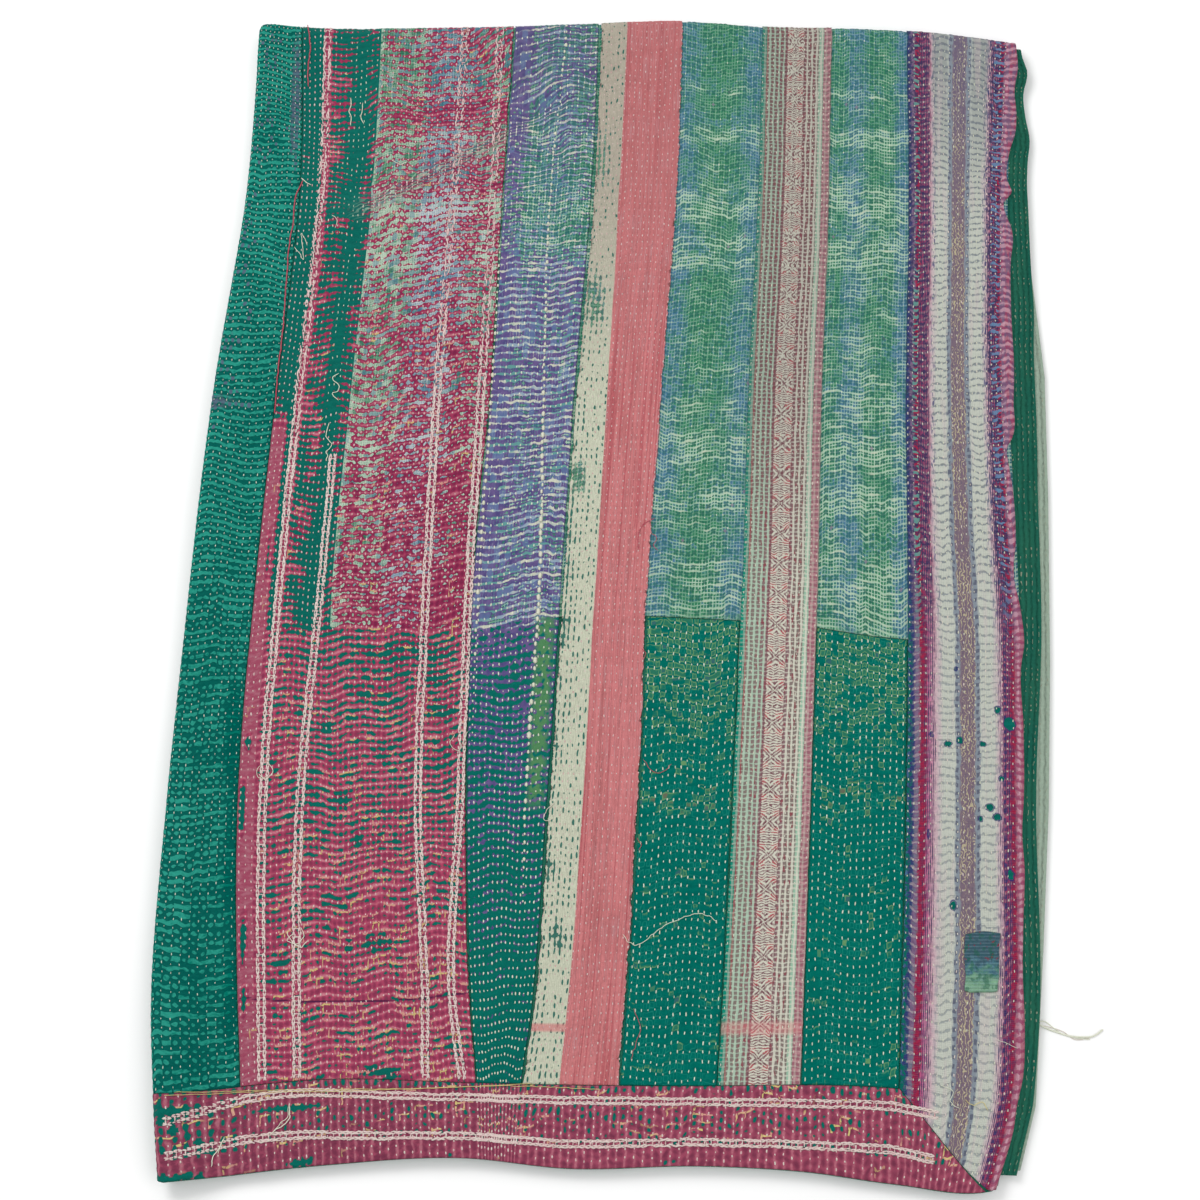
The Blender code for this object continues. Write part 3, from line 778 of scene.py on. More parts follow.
class Level:
    """A number or colour that a material's nodes work out, written like a number."""

    def __init__(self, finish, socket):
        self.finish, self.socket = finish, socket

    def __add__(self, other):
        return self.finish.math("ADD", self, other)

    def __sub__(self, other):
        return self.finish.math("SUBTRACT", self, other)

    def __rsub__(self, other):
        return self.finish.math("SUBTRACT", other, self)

    def __mul__(self, other):
        return self.finish.math("MULTIPLY", self, other)

    def __truediv__(self, number):
        return self * (1 / number)

    def __abs__(self):
        return self.finish.math("ABSOLUTE", self)

    __radd__ = __add__

    def floor(self):
        return self.finish.math("FLOOR", self)

    def zigzag(self, height):
        """Up and down between 0 and a height."""
        return self.finish.math("PINGPONG", self, height)

    def wave(self):
        """1 on whole numbers and 0 halfway between them."""
        turned = self.finish.math("COSINE", self * (2 * math.pi))
        return turned * 0.5 + 0.5

    def step(self, low, high):
        """0 at low and 1 at high, smooth between and level beyond."""
        inputs = {"Value": self, "From Min": low, "From Max": high}
        return self.finish.add("ShaderNodeMapRange", inputs, interpolation_type="SMOOTHSTEP")

    def band(self, low, high, soft):
        """1 between low and high, with soft sides."""
        rising, falling = (self.step(side - soft, side + soft) for side in (low, high))
        return self.finish.math("SUBTRACT", rising, falling, clamp=True)

    def mixed(self, other, share):
        """This colour with a share of another one, or of a dye, over it."""
        return self.finish.mix(self, other, share)


def most(a, b):
    return a.finish.math("MAXIMUM", a, b)


def least(a, b):
    return a.finish.math("MINIMUM", a, b)


class Finish:
    """One material's nodes, added call by call."""

    def __init__(self, name, roughness, sheen):
        self.material = bpy.data.materials.new(name)
        self.material.use_nodes = True
        self.tree = self.material.node_tree
        self.shader = self.tree.nodes["Principled BSDF"].inputs
        self.shader["Roughness"].default_value = roughness
        self.shader["Specular IOR Level"].default_value = SPECULAR
        self.shader["Sheen Weight"].default_value = sheen
        self.shader["Sheen Roughness"].default_value = SHEEN_ROUGHNESS
        # X and Y on the quilt, in metres
        self.x, self.y = self.pair(self.add("ShaderNodeTexCoord", {}, "Object"))

    def add(self, kind, inputs, output=0, **settings):
        """What a new node gives."""
        sockets = {
            key: value.socket if isinstance(value, Level) else value
            for key, value in inputs.items()
        }
        return Level(self, new_node(self.tree, kind, sockets, **settings).outputs[output])

    def math(self, operation, *values, clamp=False):
        inputs = dict(enumerate(values))
        return self.add("ShaderNodeMath", inputs, operation=operation, use_clamp=clamp)

    def mix(self, a, b, share):
        """From a to b, each a colour or the name of a dye."""
        a, b = (dye(each) if isinstance(each, str) else each for each in (a, b))
        inputs = {0: share, 6: a, 7: b}
        return self.add("ShaderNodeMix", inputs, 2, data_type="RGBA", clamp_factor=True)

    def attribute(self, name):
        return self.add("ShaderNodeAttribute", {}, "Fac", attribute_name=name)

    def pair(self, vector):
        """The first two numbers of a vector."""
        return tuple(self.add("ShaderNodeSeparateXYZ", {0: vector}, k) for k in (0, 1))

    def map(self, name):
        return self.pair(self.add("ShaderNodeUVMap", {}, uv_map=name))

    def vector(self, x, y, z):
        return self.add("ShaderNodeCombineXYZ", {0: x, 1: y, 2: z})

    def noise(self, x, y, seed, detail=1):
        """Noise that fills 0 to 1, one bump to a unit."""
        inputs = {"Vector": self.vector(x, y, seed), "Scale": 1, "Detail": detail}
        return self.add("ShaderNodeTexNoise", inputs) * NOISE_GAIN + NOISE_START

    def clouds(self, per_x, per_y, seed, detail=1):
        """Noise with so many bumps to a metre of the quilt each way."""
        return self.noise(self.x * per_x, self.y * per_y, seed, detail)

    def chance(self, x, y, seed):
        """A random value that is even over each whole step of x and y."""
        whole = self.vector(x.floor(), y.floor(), seed)
        return self.add("ShaderNodeTexWhiteNoise", {"Vector": whole}, "Value")

    def ramp(self, value, stops):
        """A colour read from a table of (value, dye or colour)."""
        node = new_node(self.tree, "ShaderNodeValToRGB", {0: value.socket})
        elements = node.color_ramp.elements
        elements[0].position, elements[1].position = stops[0][0], stops[-1][0]
        for at, _ in stops[1:-1]:
            elements.new(at)
        for element, (_, colour) in zip(elements, stops):
            element.color = dye(colour) if isinstance(colour, str) else colour
        return Level(self, node.outputs[0])

    def profile(self, value, stops):
        """A level read from a table of (value, level), straight between its entries."""
        low, high = stops[0][0], stops[-1][0]
        inputs = {"Value": value, "From Min": low, "From Max": high}
        greys = [((at - low) / (high - low), (level, level, level, 1)) for at, level in stops]
        grey = self.ramp(self.add("ShaderNodeMapRange", inputs), greys)
        return self.add("ShaderNodeSeparateColor", {0: grey})

    def grain(self):
        """The fine weave of cotton: crossed threads, a little uneven."""
        warp, weft = ((place * YARNS_TO_METRE).wave() for place in (self.x, self.y))
        return warp * 0.3 + weft * 0.3 + self.clouds(420, 420, 5, detail=2) * 0.9

    def finish(self, colour, relief, depth):
        """Sets the colour and a bump of the given depth in metres."""
        inputs = {"Height": relief, "Distance": BUMP_GAIN * depth, "Strength": 1}
        bump = self.add("ShaderNodeBump", inputs)
        self.tree.links.new(colour.socket, self.shader["Base Color"])
        self.tree.links.new(bump.socket, self.shader["Normal"])
        return self.material


class Cloth(Finish):
    """The finish of a stitched piece, which knows where a point is among the stitches."""

    def __init__(self, name, roughness, sheen, spread=1, slack=0.3):
        super().__init__(name, roughness, sheen)
        row, phase = self.map("rows")
        row = row / spread
        wobble = self.noise(row * 0.9, phase * 0.9, 2)
        sway = self.noise(row * 0.8, phase * 0.8, 6)
        self.row = sway * slack + (row - slack / 2)
        self.phase = wobble * slack + (phase - slack / 2)
        self.lines = self.phase.wave()  # 1 where stitches lie, 0 between them
        self.threads = (self.row + 0.5).wave()  # 1 on a row of stitches
        self.share, self.run = self.map("weave")  # across the piece, and metres along it

    def mottled(self, rows, stitches, seed, detail=1):
        """Noise with bumps of a size given in rows and stitches."""
        return self.noise(self.row / rows, self.phase / stitches, seed, detail)

    def streaks(self, across_it, along_it, seed, detail=1):
        """Noise with so many bumps across the piece, and to a metre along it."""
        return self.noise(self.share * across_it, self.run * along_it, seed, detail)

    def cell_chance(self, seed):
        """One random value for each cell between two rows and two lines of stitches."""
        return self.chance(self.row + 0.5, self.phase, seed)


def holes(cloth, worn, run=2.2, mesh=0.35, broken=0.0):
    """Where a worn cloth has gone between its lines of stitches, cell by cell.

    run is the length in rows of the slots where cells join; mesh says how often a row of stitches
    still holds across one; broken opens gaps along the lines themselves.
    """
    runs = cloth.noise(cloth.row / run, cloth.phase.floor() * 7.31, 3)
    lot = cloth.cell_chance(7)
    crumbs = cloth.mottled(0.4, 0.4, 9)
    held = cloth.threads * cloth.chance(cloth.row, cloth.phase, 11).step(0.1, 0.55) * mesh
    value = (1 - cloth.lines) * 0.75 + runs * 0.42 + lot * 0.34 + crumbs * 0.14
    bare = cloth.noise(cloth.row * 0.8, (cloth.phase + 0.5).floor() * 5.3, 8)
    bare = bare.step(0.5, 0.62) * broken
    return (value + bare - (1.62 - worn * 1.2 + held)).step(-0.05, 0.05)


def loose_weft(cloth, amount, seed):
    """Odd pale threads: short dashes along the lines of stitches and ticks between the rows."""
    amount = amount * cloth.mottled(5, 2.2, seed).step(0.15, 0.95)
    dash_line = (cloth.phase + 0.16).wave()
    lot = cloth.chance(cloth.row, cloth.phase, seed) + amount * 0.75
    dash = dash_line.step(0.82, 0.94) * lot.step(0.96, 1.02)
    tick_line = (cloth.row + 0.12).wave()
    lot = cloth.cell_chance(seed) + amount * 0.65
    tick = tick_line.step(0.84, 0.96) * lot.step(0.96, 1.02)
    return most(dash, tick) * cloth.mottled(0.35, 0.4, seed).step(0.2, 0.5)


def teal_ground(cloth):
    """The green face cloth, a little mottled, with painted shade darkening it along its lines of
    stitches, in its furrows.
    """
    cloudy = cloth.clouds(9, 9, 1, detail=2)
    # cloth.lines adds painted shade where the stitches pull the cloth down into furrows
    share = cloudy * 0.25 + cloth.clouds(160, 160, 1, detail=2) * 0.4 + cloth.lines * 0.25
    return cloth.mix("teal", "deep_teal", share)


PLAID_BLUE = (
    # stitch row, how blue the plaid is there
    (24, 0.1), (32, 0.1), (34, 0.8), (38, 0.9), (42, 0.7), (44, 0.4), (46, 0.4), (48, 0.1),
    (52, 0.3), (58, 0.6), (64, 0.2), (82, 0.7), (84, 0.6), (86, 0.2), (90, 0.1), (93, 0.25),
    (95, 0.7), (97, 0.7), (111, 0.3), (113, 0.2), (115, 0.7), (117, 0.65), (119, 0.15), (123, 0.2),
    (124.5, 0.8), (127, 0.9),
)  # fmt: skip
PLAID_PALE = (
    # Y in metres, how thick the pale threads lie there
    (-0.035, 0.55), (0.0, 0.62), (0.008, 0.8), (0.026, 0.8), (0.034, 0.5), (0.078, 0.45),
    (0.084, 0.85), (0.103, 0.8), (0.11, 0.5), (0.128, 0.5), (0.134, 0.9), (0.158, 0.9),
    (0.165, 0.5), (0.19, 0.65), (0.206, 0.45), (0.33, 0.4), (0.336, 0.8), (0.36, 0.85),
    (0.368, 0.45), (0.382, 0.45), (0.388, 0.8), (0.418, 0.85), (0.426, 0.4), (0.466, 0.35),
    (0.471, 0.75), (0.484, 0.75), (0.49, 0.3), (0.519, 0.3), (0.525, 0.65), (0.535, 0.3),
    (0.61, 0.25),
)  # fmt: skip


def plaid_colour(cloth):
    """Blue and green plaid, worn so that its pale threads stand out in groups."""
    drift = cloth.mottled(9, 5, 4)
    blue = cloth.profile(cloth.row, PLAID_BLUE)
    tone = blue * 0.65 + drift * 0.6
    mixed = cloth.cell_chance(12) * 0.45 + cloth.mottled(0.5, 0.3, 51) * 0.9
    base = cloth.mix("leaf", "blue", (tone + mixed).step(1.05, 1.7))
    cell = cloth.mottled(0.6, 0.5, 13)
    shadow = cloth.mix("forest", "plaid_shadow", blue)
    base = base.mixed(shadow, cell.step(0.2, 1) * 0.85)
    # The pale threads stand out where they lie thick
    pale = cloth.profile(cloth.run, PLAID_PALE) * (cloth.row.step(78, 118) * 0.35 + 1)
    bright = (pale * (cloth.mottled(5, 2.2, 17) * 1.3 + 0.1)).step(0.15, 0.9)
    cool = cloth.mix("sage", "sky", blue).mixed("mint_pale", bright * 0.85)
    ragged = cloth.mottled(1.3, 0.5, 35)
    fine = (cloth.phase * 2).wave()
    weft = (fine + ragged * 0.4).step(0.92, 1.15)
    slivers = cloth.mottled(0.4, 1.6, 21)
    fine = (cloth.row * 2).wave()
    grid = most(weft, (fine + slivers * 0.5).step(0.95, 1.2)) * (bright * 0.5 + 0.46)
    colour = base.mixed(cool, grid)
    uneven = cloth.mottled(2.2, 0.45, 19)
    cord = cloth.lines + uneven * 0.55 + cloth.mottled(0.4, 0.3, 25) * 0.3 + bright * 0.25
    cord = cord.step(1.34, 1.56) * bright.step(0.15, 0.7)
    colour = colour.mixed(cloth.mix("mint", "cream", uneven.step(0.5, 1)), cord * 0.65)
    speck = cloth.cell_chance(23).step(0.99, 0.992)
    speck = speck * (cloth.row.wave() * (1 - cloth.lines)).step(0.35, 0.6)
    colour = colour.mixed("mauve", speck * 0.6)
    # Darker squares where the blue and green threads cross
    deep = cloth.cell_chance(27).step(0.5, 0.55) * (1 - cloth.lines) * (1 - cloth.threads)
    return colour.mixed(shadow, deep.step(0.2, 0.45) * 0.75)


def left_green_finish():
    cloth = Cloth("left_green_cloth", 0.9, 0)
    worn = cloth.attribute("worn")
    runs = cloth.noise(cloth.row * 0.9, cloth.phase.floor() * 5.7, 3)
    # Painted shade in the furrows between the puffs, along the stitches and, in notches, across the
    # rows; it spreads further where the cloth is worn
    furrow = cloth.lines + runs * 0.5 + worn * 0.55
    notch = cloth.threads * cloth.cell_chance(5).step(0.35, 0.5)
    notch = notch * (cloth.run.step(0.15, -0.15) * 0.35 + 0.35)
    furrow = (furrow + notch).step(0.86, 1.06)
    light = (cloth.mottled(0.5, 0.3, 4, detail=2) * 0.6 - worn * 0.8).step(-0.45, 0.15)
    top = cloth.mix("jade", "sea_green", light)
    violet = cloth.attribute("tint")
    lot = cloth.cell_chance(31)
    stain = (lot + violet).step(1, 1.04) * ((1 - cloth.lines) * cloth.row.wave()).step(0.3, 0.5)
    strong = violet.step(0.35, 0.8) * cloth.mottled(0.7, 0.5, 33).step(0.3, 0.6)
    # deep_teal over the furrows is painted shade, widened by wear
    colour = top.mixed("deep_teal", furrow * 0.9)
    colour = colour.mixed("mauve_dark", most(stain, strong) * 0.75)
    return cloth.finish(colour, cloth.grain() - furrow, 0.00045)


def green_finish():
    cloth = Cloth("green_cloth", 0.9, 0)
    colour = teal_ground(cloth)
    bent = cloth.mottled(0.6, 0.5, 5) * 0.3
    sides = most(1 - cloth.threads, cloth.chance(cloth.row, cloth.phase, 17).step(0.8, 0.82))
    wide = least(sides, 1 - cloth.lines) + bent
    outline = wide.band(0.3, 0.66, 0.06)
    colour = colour.mixed("sea_green", outline * cloth.mottled(3, 2, 25).step(0.2, 0.8) * 0.3)
    lot = cloth.cell_chance(9)
    here = lot * 0.5 + cloth.mottled(3.4, 1.1, 15) * 0.55 + cloth.attribute("tint")
    here = here.step(0.44, 0.58)
    brown = cloth.mottled(6, 1, 19).step(0.55, 0.68)
    middle = cloth.mix("olive_dark", "mauve_dark", cloth.cell_chance(14).step(0.9, 0.92))
    middle = middle.mixed("bark", brown * cloth.attribute("brown"))
    filled = 0.3 + brown * cloth.attribute("brown") * 0.5
    colour = colour.mixed(middle, wide.step(0.62, 0.72) * here * filled)
    colour = colour.mixed("olive", outline * here * 0.75)
    stray = cloth.cell_chance(16).step(0.995, 0.997)
    colour = colour.mixed("olive", stray * wide.step(0.45, 0.6) * 0.8)
    return cloth.finish(colour, cloth.grain(), 0.0003)


def magenta_finish():
    cloth = Cloth("magenta_cloth", 0.9, 0.04)
    inside = cloth.attribute("tint")
    over = inside.step(0.495, 0.505)
    worn = cloth.attribute("worn")
    gone = holes(cloth, worn, run=1.4, mesh=over * 0.06 + 0.4, broken=over * 0.3 + 0.05)
    plain = worn.step(0, -0.3)
    shade = cloth.mottled(2, 1.3, 7)
    highlight_patches = cloth.clouds(22, 22, 9, detail=2)
    # Painted light and shade, with a random mottle: the ribs along the lines and rows of stitches
    # are lit to the brighter dye, the darker dye between them is painted shade; both dyes follow
    # the wear and the plaid beneath
    ribs = cloth.lines * 0.55 + cloth.threads * 0.45 + shade * 0.5
    bare = worn.step(0.62, 0.8)
    dark = cloth.mix("wine", "claret", most(over, bare))
    bright = cloth.mix("magenta", "claret_light", most(over, bare))
    top = dark.mixed(bright, ribs.step(0.3, 1.15))
    top = top.mixed(dark, (cloth.row * 2).wave().step(0.35, 0.05) * (0.35 - over * 0.2))
    # A painted highlight of rose_pale along the lines of stitches, in patches, fainter over the
    # plaid and gone where worn through
    pale = (cloth.lines + shade * 0.45 + highlight_patches * 0.35).step(1.1, 1.65) * (0.75 - over * 0.2)
    pale = pale * worn.step(0.8, 0.62)
    top = top.mixed("rose_pale", pale)
    streaks = cloth.noise(cloth.row * 0.7, cloth.phase * 2.1, 51, detail=2)
    top = top.mixed(cloth.mix("magenta_dull", "dusty_rose", streaks.step(0.3, 0.9)), plain)
    flecked = loose_weft(cloth, cloth.attribute("fleck"), 41)
    yellow = cloth.mottled(4, 2, 43).step(0.5, 0.62)
    top = top.mixed(cloth.mix("salmon", "butter", yellow), flecked * 0.85)
    seam = cloth.attribute("seam").step(0.4, 0.8)
    top = top.mixed("plum_dark", seam)
    plaid = plaid_colour(cloth)
    bleached = cloth.mottled(3, 2, 63)
    lot = cloth.cell_chance(65)
    blue = cloth.profile(cloth.row, PLAID_BLUE) + bleached * 0.5
    high = cloth.run.step(0.38, 0.5)
    mint, sky = cloth.mix("mint_pale", "sage", high), cloth.mix("sky_pale", "sky", high)
    pale_plaid = mint.mixed(sky, blue.step(0.75, 0.95))
    bleached = bleached * 0.6 + lot * 0.2 + cloth.profile(cloth.run, PLAID_PALE) * 0.5
    plaid = plaid.mixed(pale_plaid, bleached.step(0.45, 0.95) * (0.62 - high * 0.15))
    # The plaid's own threads, crossed and pale
    crossed = most((cloth.row * 3).wave(), (cloth.phase * 3).wave())
    crossed = crossed.step(0.75, 0.98) * bleached.step(0.3, 0.8) * 0.55
    plaid = plaid.mixed("ivory", crossed)
    plaid = plaid.mixed("blue", cloth.cell_chance(67).step(0.8, 0.84) * 0.45)
    hem = inside.band(0.5, 0.56, 0.01) * cloth.mottled(2, 0.5, 61).step(0.3, 0.7) * 0.7
    plaid = plaid.mixed("mint_pale", hem)
    colour = top.mixed(teal_ground(cloth).mixed(plaid, over), gone)
    # Along the long crease the gathered pleats are painted: light on their crests in thread
    # colours, and dusk as painted shade in their folds
    tight = cloth.attribute("tight")
    bunched = cloth.clouds(70, 110, 71)
    pleats = (cloth.attribute("pleat") + bunched * 2.2).wave()
    thread = cloth.mix("mint_pale", "claret_light", bunched.step(0.4, 0.65))
    colour = colour.mixed(thread, tight * pleats.step(0.5, 0.9) * 0.7)
    colour = colour.mixed("dusk", tight * pleats.step(0.4, 0.05) * 0.6)
    relief = gone * -0.9 - seam + tight * pleats * 2 + cloth.grain()
    return cloth.finish(colour, relief, 0.00045)


def purple_finish():
    cloth = Cloth("purple_cloth", 0.9, 0.03)
    above = cloth.attribute("fleck").step(0.49, 0.51)
    gone = holes(cloth, cloth.attribute("worn"), run=1.1, mesh=0.4, broken=0.2 - above * 0.1)
    shade = cloth.mottled(1.4, 0.9, 7)
    top = cloth.mix("violet", "indigo", shade.step(0.2, 0.9))
    blue_cell = cloth.cell_chance(33) + cloth.mottled(5, 3, 35) * 0.4
    blue_cell = blue_cell.step(0.95, 1.1) * above * 0.45
    top = top.mixed("sky_deep", blue_cell)
    barred = cloth.attribute("tint")
    ragged = cloth.mottled(1.5, 0.45, 19)
    patches = cloth.mottled(5, 4, 23) * 0.35
    bars = cloth.lines + ragged * 0.6 + patches + barred * 0.2
    bars = bars.step(1.32, 1.5) * barred.step(0.1, 0.5)
    slivers = cloth.mottled(0.35, 0.8, 25)
    ticks = ((cloth.row * 2).wave() + slivers * 0.6 + patches).step(1.4, 1.6)
    bars = most(bars, ticks * barred * 0.75)
    thread = cloth.mix("sky", "cream", cloth.mottled(3, 1.5, 27).step(0.45, 0.75))
    thread = thread.mixed("sea_mist", cloth.mottled(5, 2.5, 29).step(0.5, 0.7))
    top = top.mixed(thread, bars * 0.85)
    colour = top.mixed(teal_ground(cloth).mixed(plaid_colour(cloth), above), gone)
    colour = colour.mixed("dusk", cloth.run.step(0.4, 0.56) * 0.2)
    colour = colour.mixed("olive_dark", cloth.attribute("olive") * shade.step(0.25, 0.5))
    return cloth.finish(colour, cloth.grain() - gone * 0.5, 0.00035)


CREAM_EDGE = (
    # Y in metres, how much of the strip's width is cream
    (-0.46, 0.385), (-0.39, 0.37), (-0.2, 0.38), (0.0, 0.385), (0.2, 0.365), (0.41, 0.306),
    (0.6, 0.325),
)  # fmt: skip


def cream_pink_finish():
    cloth = Cloth("cream_pink_cloth", 0.88, 0.04)
    share, run = cloth.share, cloth.run
    streaks = cloth.streaks(55, 14, 3, detail=2)
    fine = cloth.streaks(150, 30, 13)
    folds = streaks * 0.6 + fine * 0.5 + cloth.streaks(9, 2.5, 17) * 0.4
    pink = cloth.mix("rose", "brick", folds.step(0.5, 1.15))
    pink = pink.mixed("blush", fine.step(0.55, 0.95) * 0.6)
    pink = pink.mixed("brick_red", cloth.streaks(26, 3, 23).step(0.66, 0.78) * 0.6)
    pink = pink.mixed("brick", run.step(0.2, 0.5) * 0.6)
    pink = pink.mixed("blush", fine.step(0.5, 0.8) * run.step(0.15, 0.4) * 0.35)
    pink = pink.mixed("brick_red", streaks.step(0.8, 1) * run.step(0.15, 0.4) * 0.5)
    # Thin oatmeal lines along the rows are painted shade
    white = cloth.mix("cream", "oatmeal", (cloth.row * 3).wave() * 0.4)
    white = white.mixed("ivory", streaks.step(0.6, 1.1) * 0.4)
    white = white.mixed("taupe_pale", run.step(0.15, 0.45) * 0.7)
    between = cloth.row.wave().step(0.5, 0.95) * 0.6 + (1 - cloth.lines) * 0.42
    lot = cloth.cell_chance(3) * 0.5
    slot = between + lot + cloth.mottled(1.4, 0.8, 29) * 0.25 + cloth.attribute("worn")
    gone = slot.step(1.4, 1.52)
    under = teal_ground(cloth).mixed(plaid_colour(cloth), cloth.attribute("plaid_under"))
    cream = white.mixed(under, gone * 0.92)
    cream = cream.mixed("rose", run.band(-0.408, -0.401, 0.0015) * 0.75)
    side = (share + streaks * 0.012 - cloth.profile(run, CREAM_EDGE)).step(-0.002, 0.01)
    colour = cream.mixed(pink, side)
    frayed_side = (share + cloth.streaks(20, 240, 19) * 0.03).step(0.992, 1)
    colour = colour.mixed("blush", frayed_side * 0.7)
    return cloth.finish(colour, folds * 0.9 + gone * (side * 0.9 - 0.9) + cloth.grain(), 0.0005)


def plaid_finish():
    cloth = Cloth("plaid_cloth", 0.9, 0.05, slack=0.12)
    colour = plaid_colour(cloth)
    edge = cloth.mottled(0.6, 3, 33).step(0.4, 0.7) * cloth.run.step(-0.022, -0.034) * 0.7
    colour = colour.mixed("sage", edge)
    return cloth.finish(colour, cloth.grain(), 0.00035)


WOVEN_STRIPES = (
    (0.0, "selvedge"), (0.07, "selvedge"), (0.08, "brick_pale"), (0.1, "heather"),
    (0.2, "heather"), (0.33, "taupe"), (0.36, "taupe_dark"), (0.6, "taupe_dark"), (0.63, "taupe"),
    (0.7, "heather"), (0.81, "heather"), (0.825, "mint_dull"), (0.875, "mint_dull"),
    (0.89, "mauve_rose"), (1.0, "mauve_rose"),
)  # fmt: skip


def woven_finish():
    cloth = Cloth("woven_cloth", 0.85, 0.04)
    share, run = cloth.share, cloth.run
    ragged = cloth.streaks(30, 90, 3)
    base = cloth.ramp(share + ragged * 0.012 - 0.006, WOVEN_STRIPES)
    chain = (cloth.lines + ragged * 0.4).step(0.9, 1.2)
    base = base.mixed("deep_teal", chain * share.step(0.08, 0.06) * 0.5)
    # An open net of pale cords up the strip and finer threads across it
    slack = cloth.streaks(8, 40, 5)
    cords = (share * 15 + slack * 0.3).wave()
    threads = (run * 238 + slack * 0.7).wave()
    left, right = share.band(0.09, 0.34, 0.02), share.band(0.61, 0.88, 0.02)
    dull = run.step(-0.05, 0.25)
    base = base.mixed("brick_brown", dull * share.band(0.09, 0.8, 0.01) * 0.6)
    netted = most(left, right) * 0.55 + 0.3
    broken = cloth.streaks(30, 110, 7)
    cord = (cords + broken * 0.5).step(0.8, 1.05)
    thread = (threads + broken * 0.5).step(0.9, 1.15)
    pale = cloth.mix("shell", "mint_pale", left)
    base = base.mixed(pale, thread * netted * 0.8).mixed(pale, cord * netted)
    dashes = cloth.streaks(30, 170, 11)
    dash_rows = most(share.band(0.075, 0.1, 0.008), share.band(0.22, 0.36, 0.02))
    dash_rows = most(dash_rows, share.band(0.6, 0.78, 0.02))
    base = base.mixed("brick_dark", dashes.step(0.6, 0.74) * (1 - cord) * dash_rows * 0.75)
    # Crossed rosettes, one to every 30 mm, with zigzags between them and red in the corners
    wander = cloth.noise(run * 30, 0, 15)
    jumble = cloth.streaks(26, 150, 27) * run.step(0.02, 0.3) * 0.9
    centre = abs(share * 8.7 + (wander * 0.4 - 4.35))
    away = (run * 32.5 + slack * 0.1).zigzag(0.5)
    fuzz = cloth.streaks(60, 500, 17)
    rosette = away.step(0.27, 0.25)
    petals = (abs(centre - away * 4.2) * 1.7 + fuzz * 0.3 + jumble).wave()
    zigzag = (away * 13 + centre.zigzag(0.5) + fuzz * 0.3 + jumble).wave()
    lace = (petals * rosette + zigzag * (1 - rosette) + fuzz * 0.25).step(0.48, 0.72)
    middle = share.band(0.37, 0.6, 0.008)
    corner = away.band(0.16, 0.36, 0.04) * centre.step(0.2, 0.5)
    base = base.mixed("brick_red", middle * corner * 0.8).mixed("shell", lace * middle * 0.95)
    base = base.mixed("heather_dark", dull * 0.3)
    base = base.mixed("rose", run.band(-0.41, -0.399, 0.003) * 0.45)
    pale_bars = cloth.lines.step(0.6, 0.95) * share.band(0.89, 0.99, 0.005)
    base = base.mixed("blush", pale_bars * 0.45)
    return cloth.finish(base, cords * 0.9 + threads * 0.5 + cloth.grain(), 0.0004)


SIDE_STRIPES = (
    (0.0, "blue"), (0.03, "navy"), (0.06, "navy"), (0.075, "mauve"), (0.1, "mauve"),
    (0.118, "crimson"), (0.165, "crimson"), (0.185, "orchid"), (0.23, "pink_pale"),
    (0.28, "linen"), (0.32, "white_cloth"), (0.42, "white_cloth"), (0.435, "slate"),
    (0.46, "slate"), (0.474, "plum"), (0.59, "plum"), (0.605, "slate"), (0.635, "slate"),
    (0.65, "white_cloth"), (0.76, "white_cloth"), (0.8, "linen"), (0.835, "pink_pale"),
    (0.85, "berry"), (0.9, "berry"), (0.91, "crimson"), (0.94, "crimson"), (0.955, "dusty_rose"),
    (0.985, "pink_pale"), (1.0, "dusty_rose"),
)  # fmt: skip


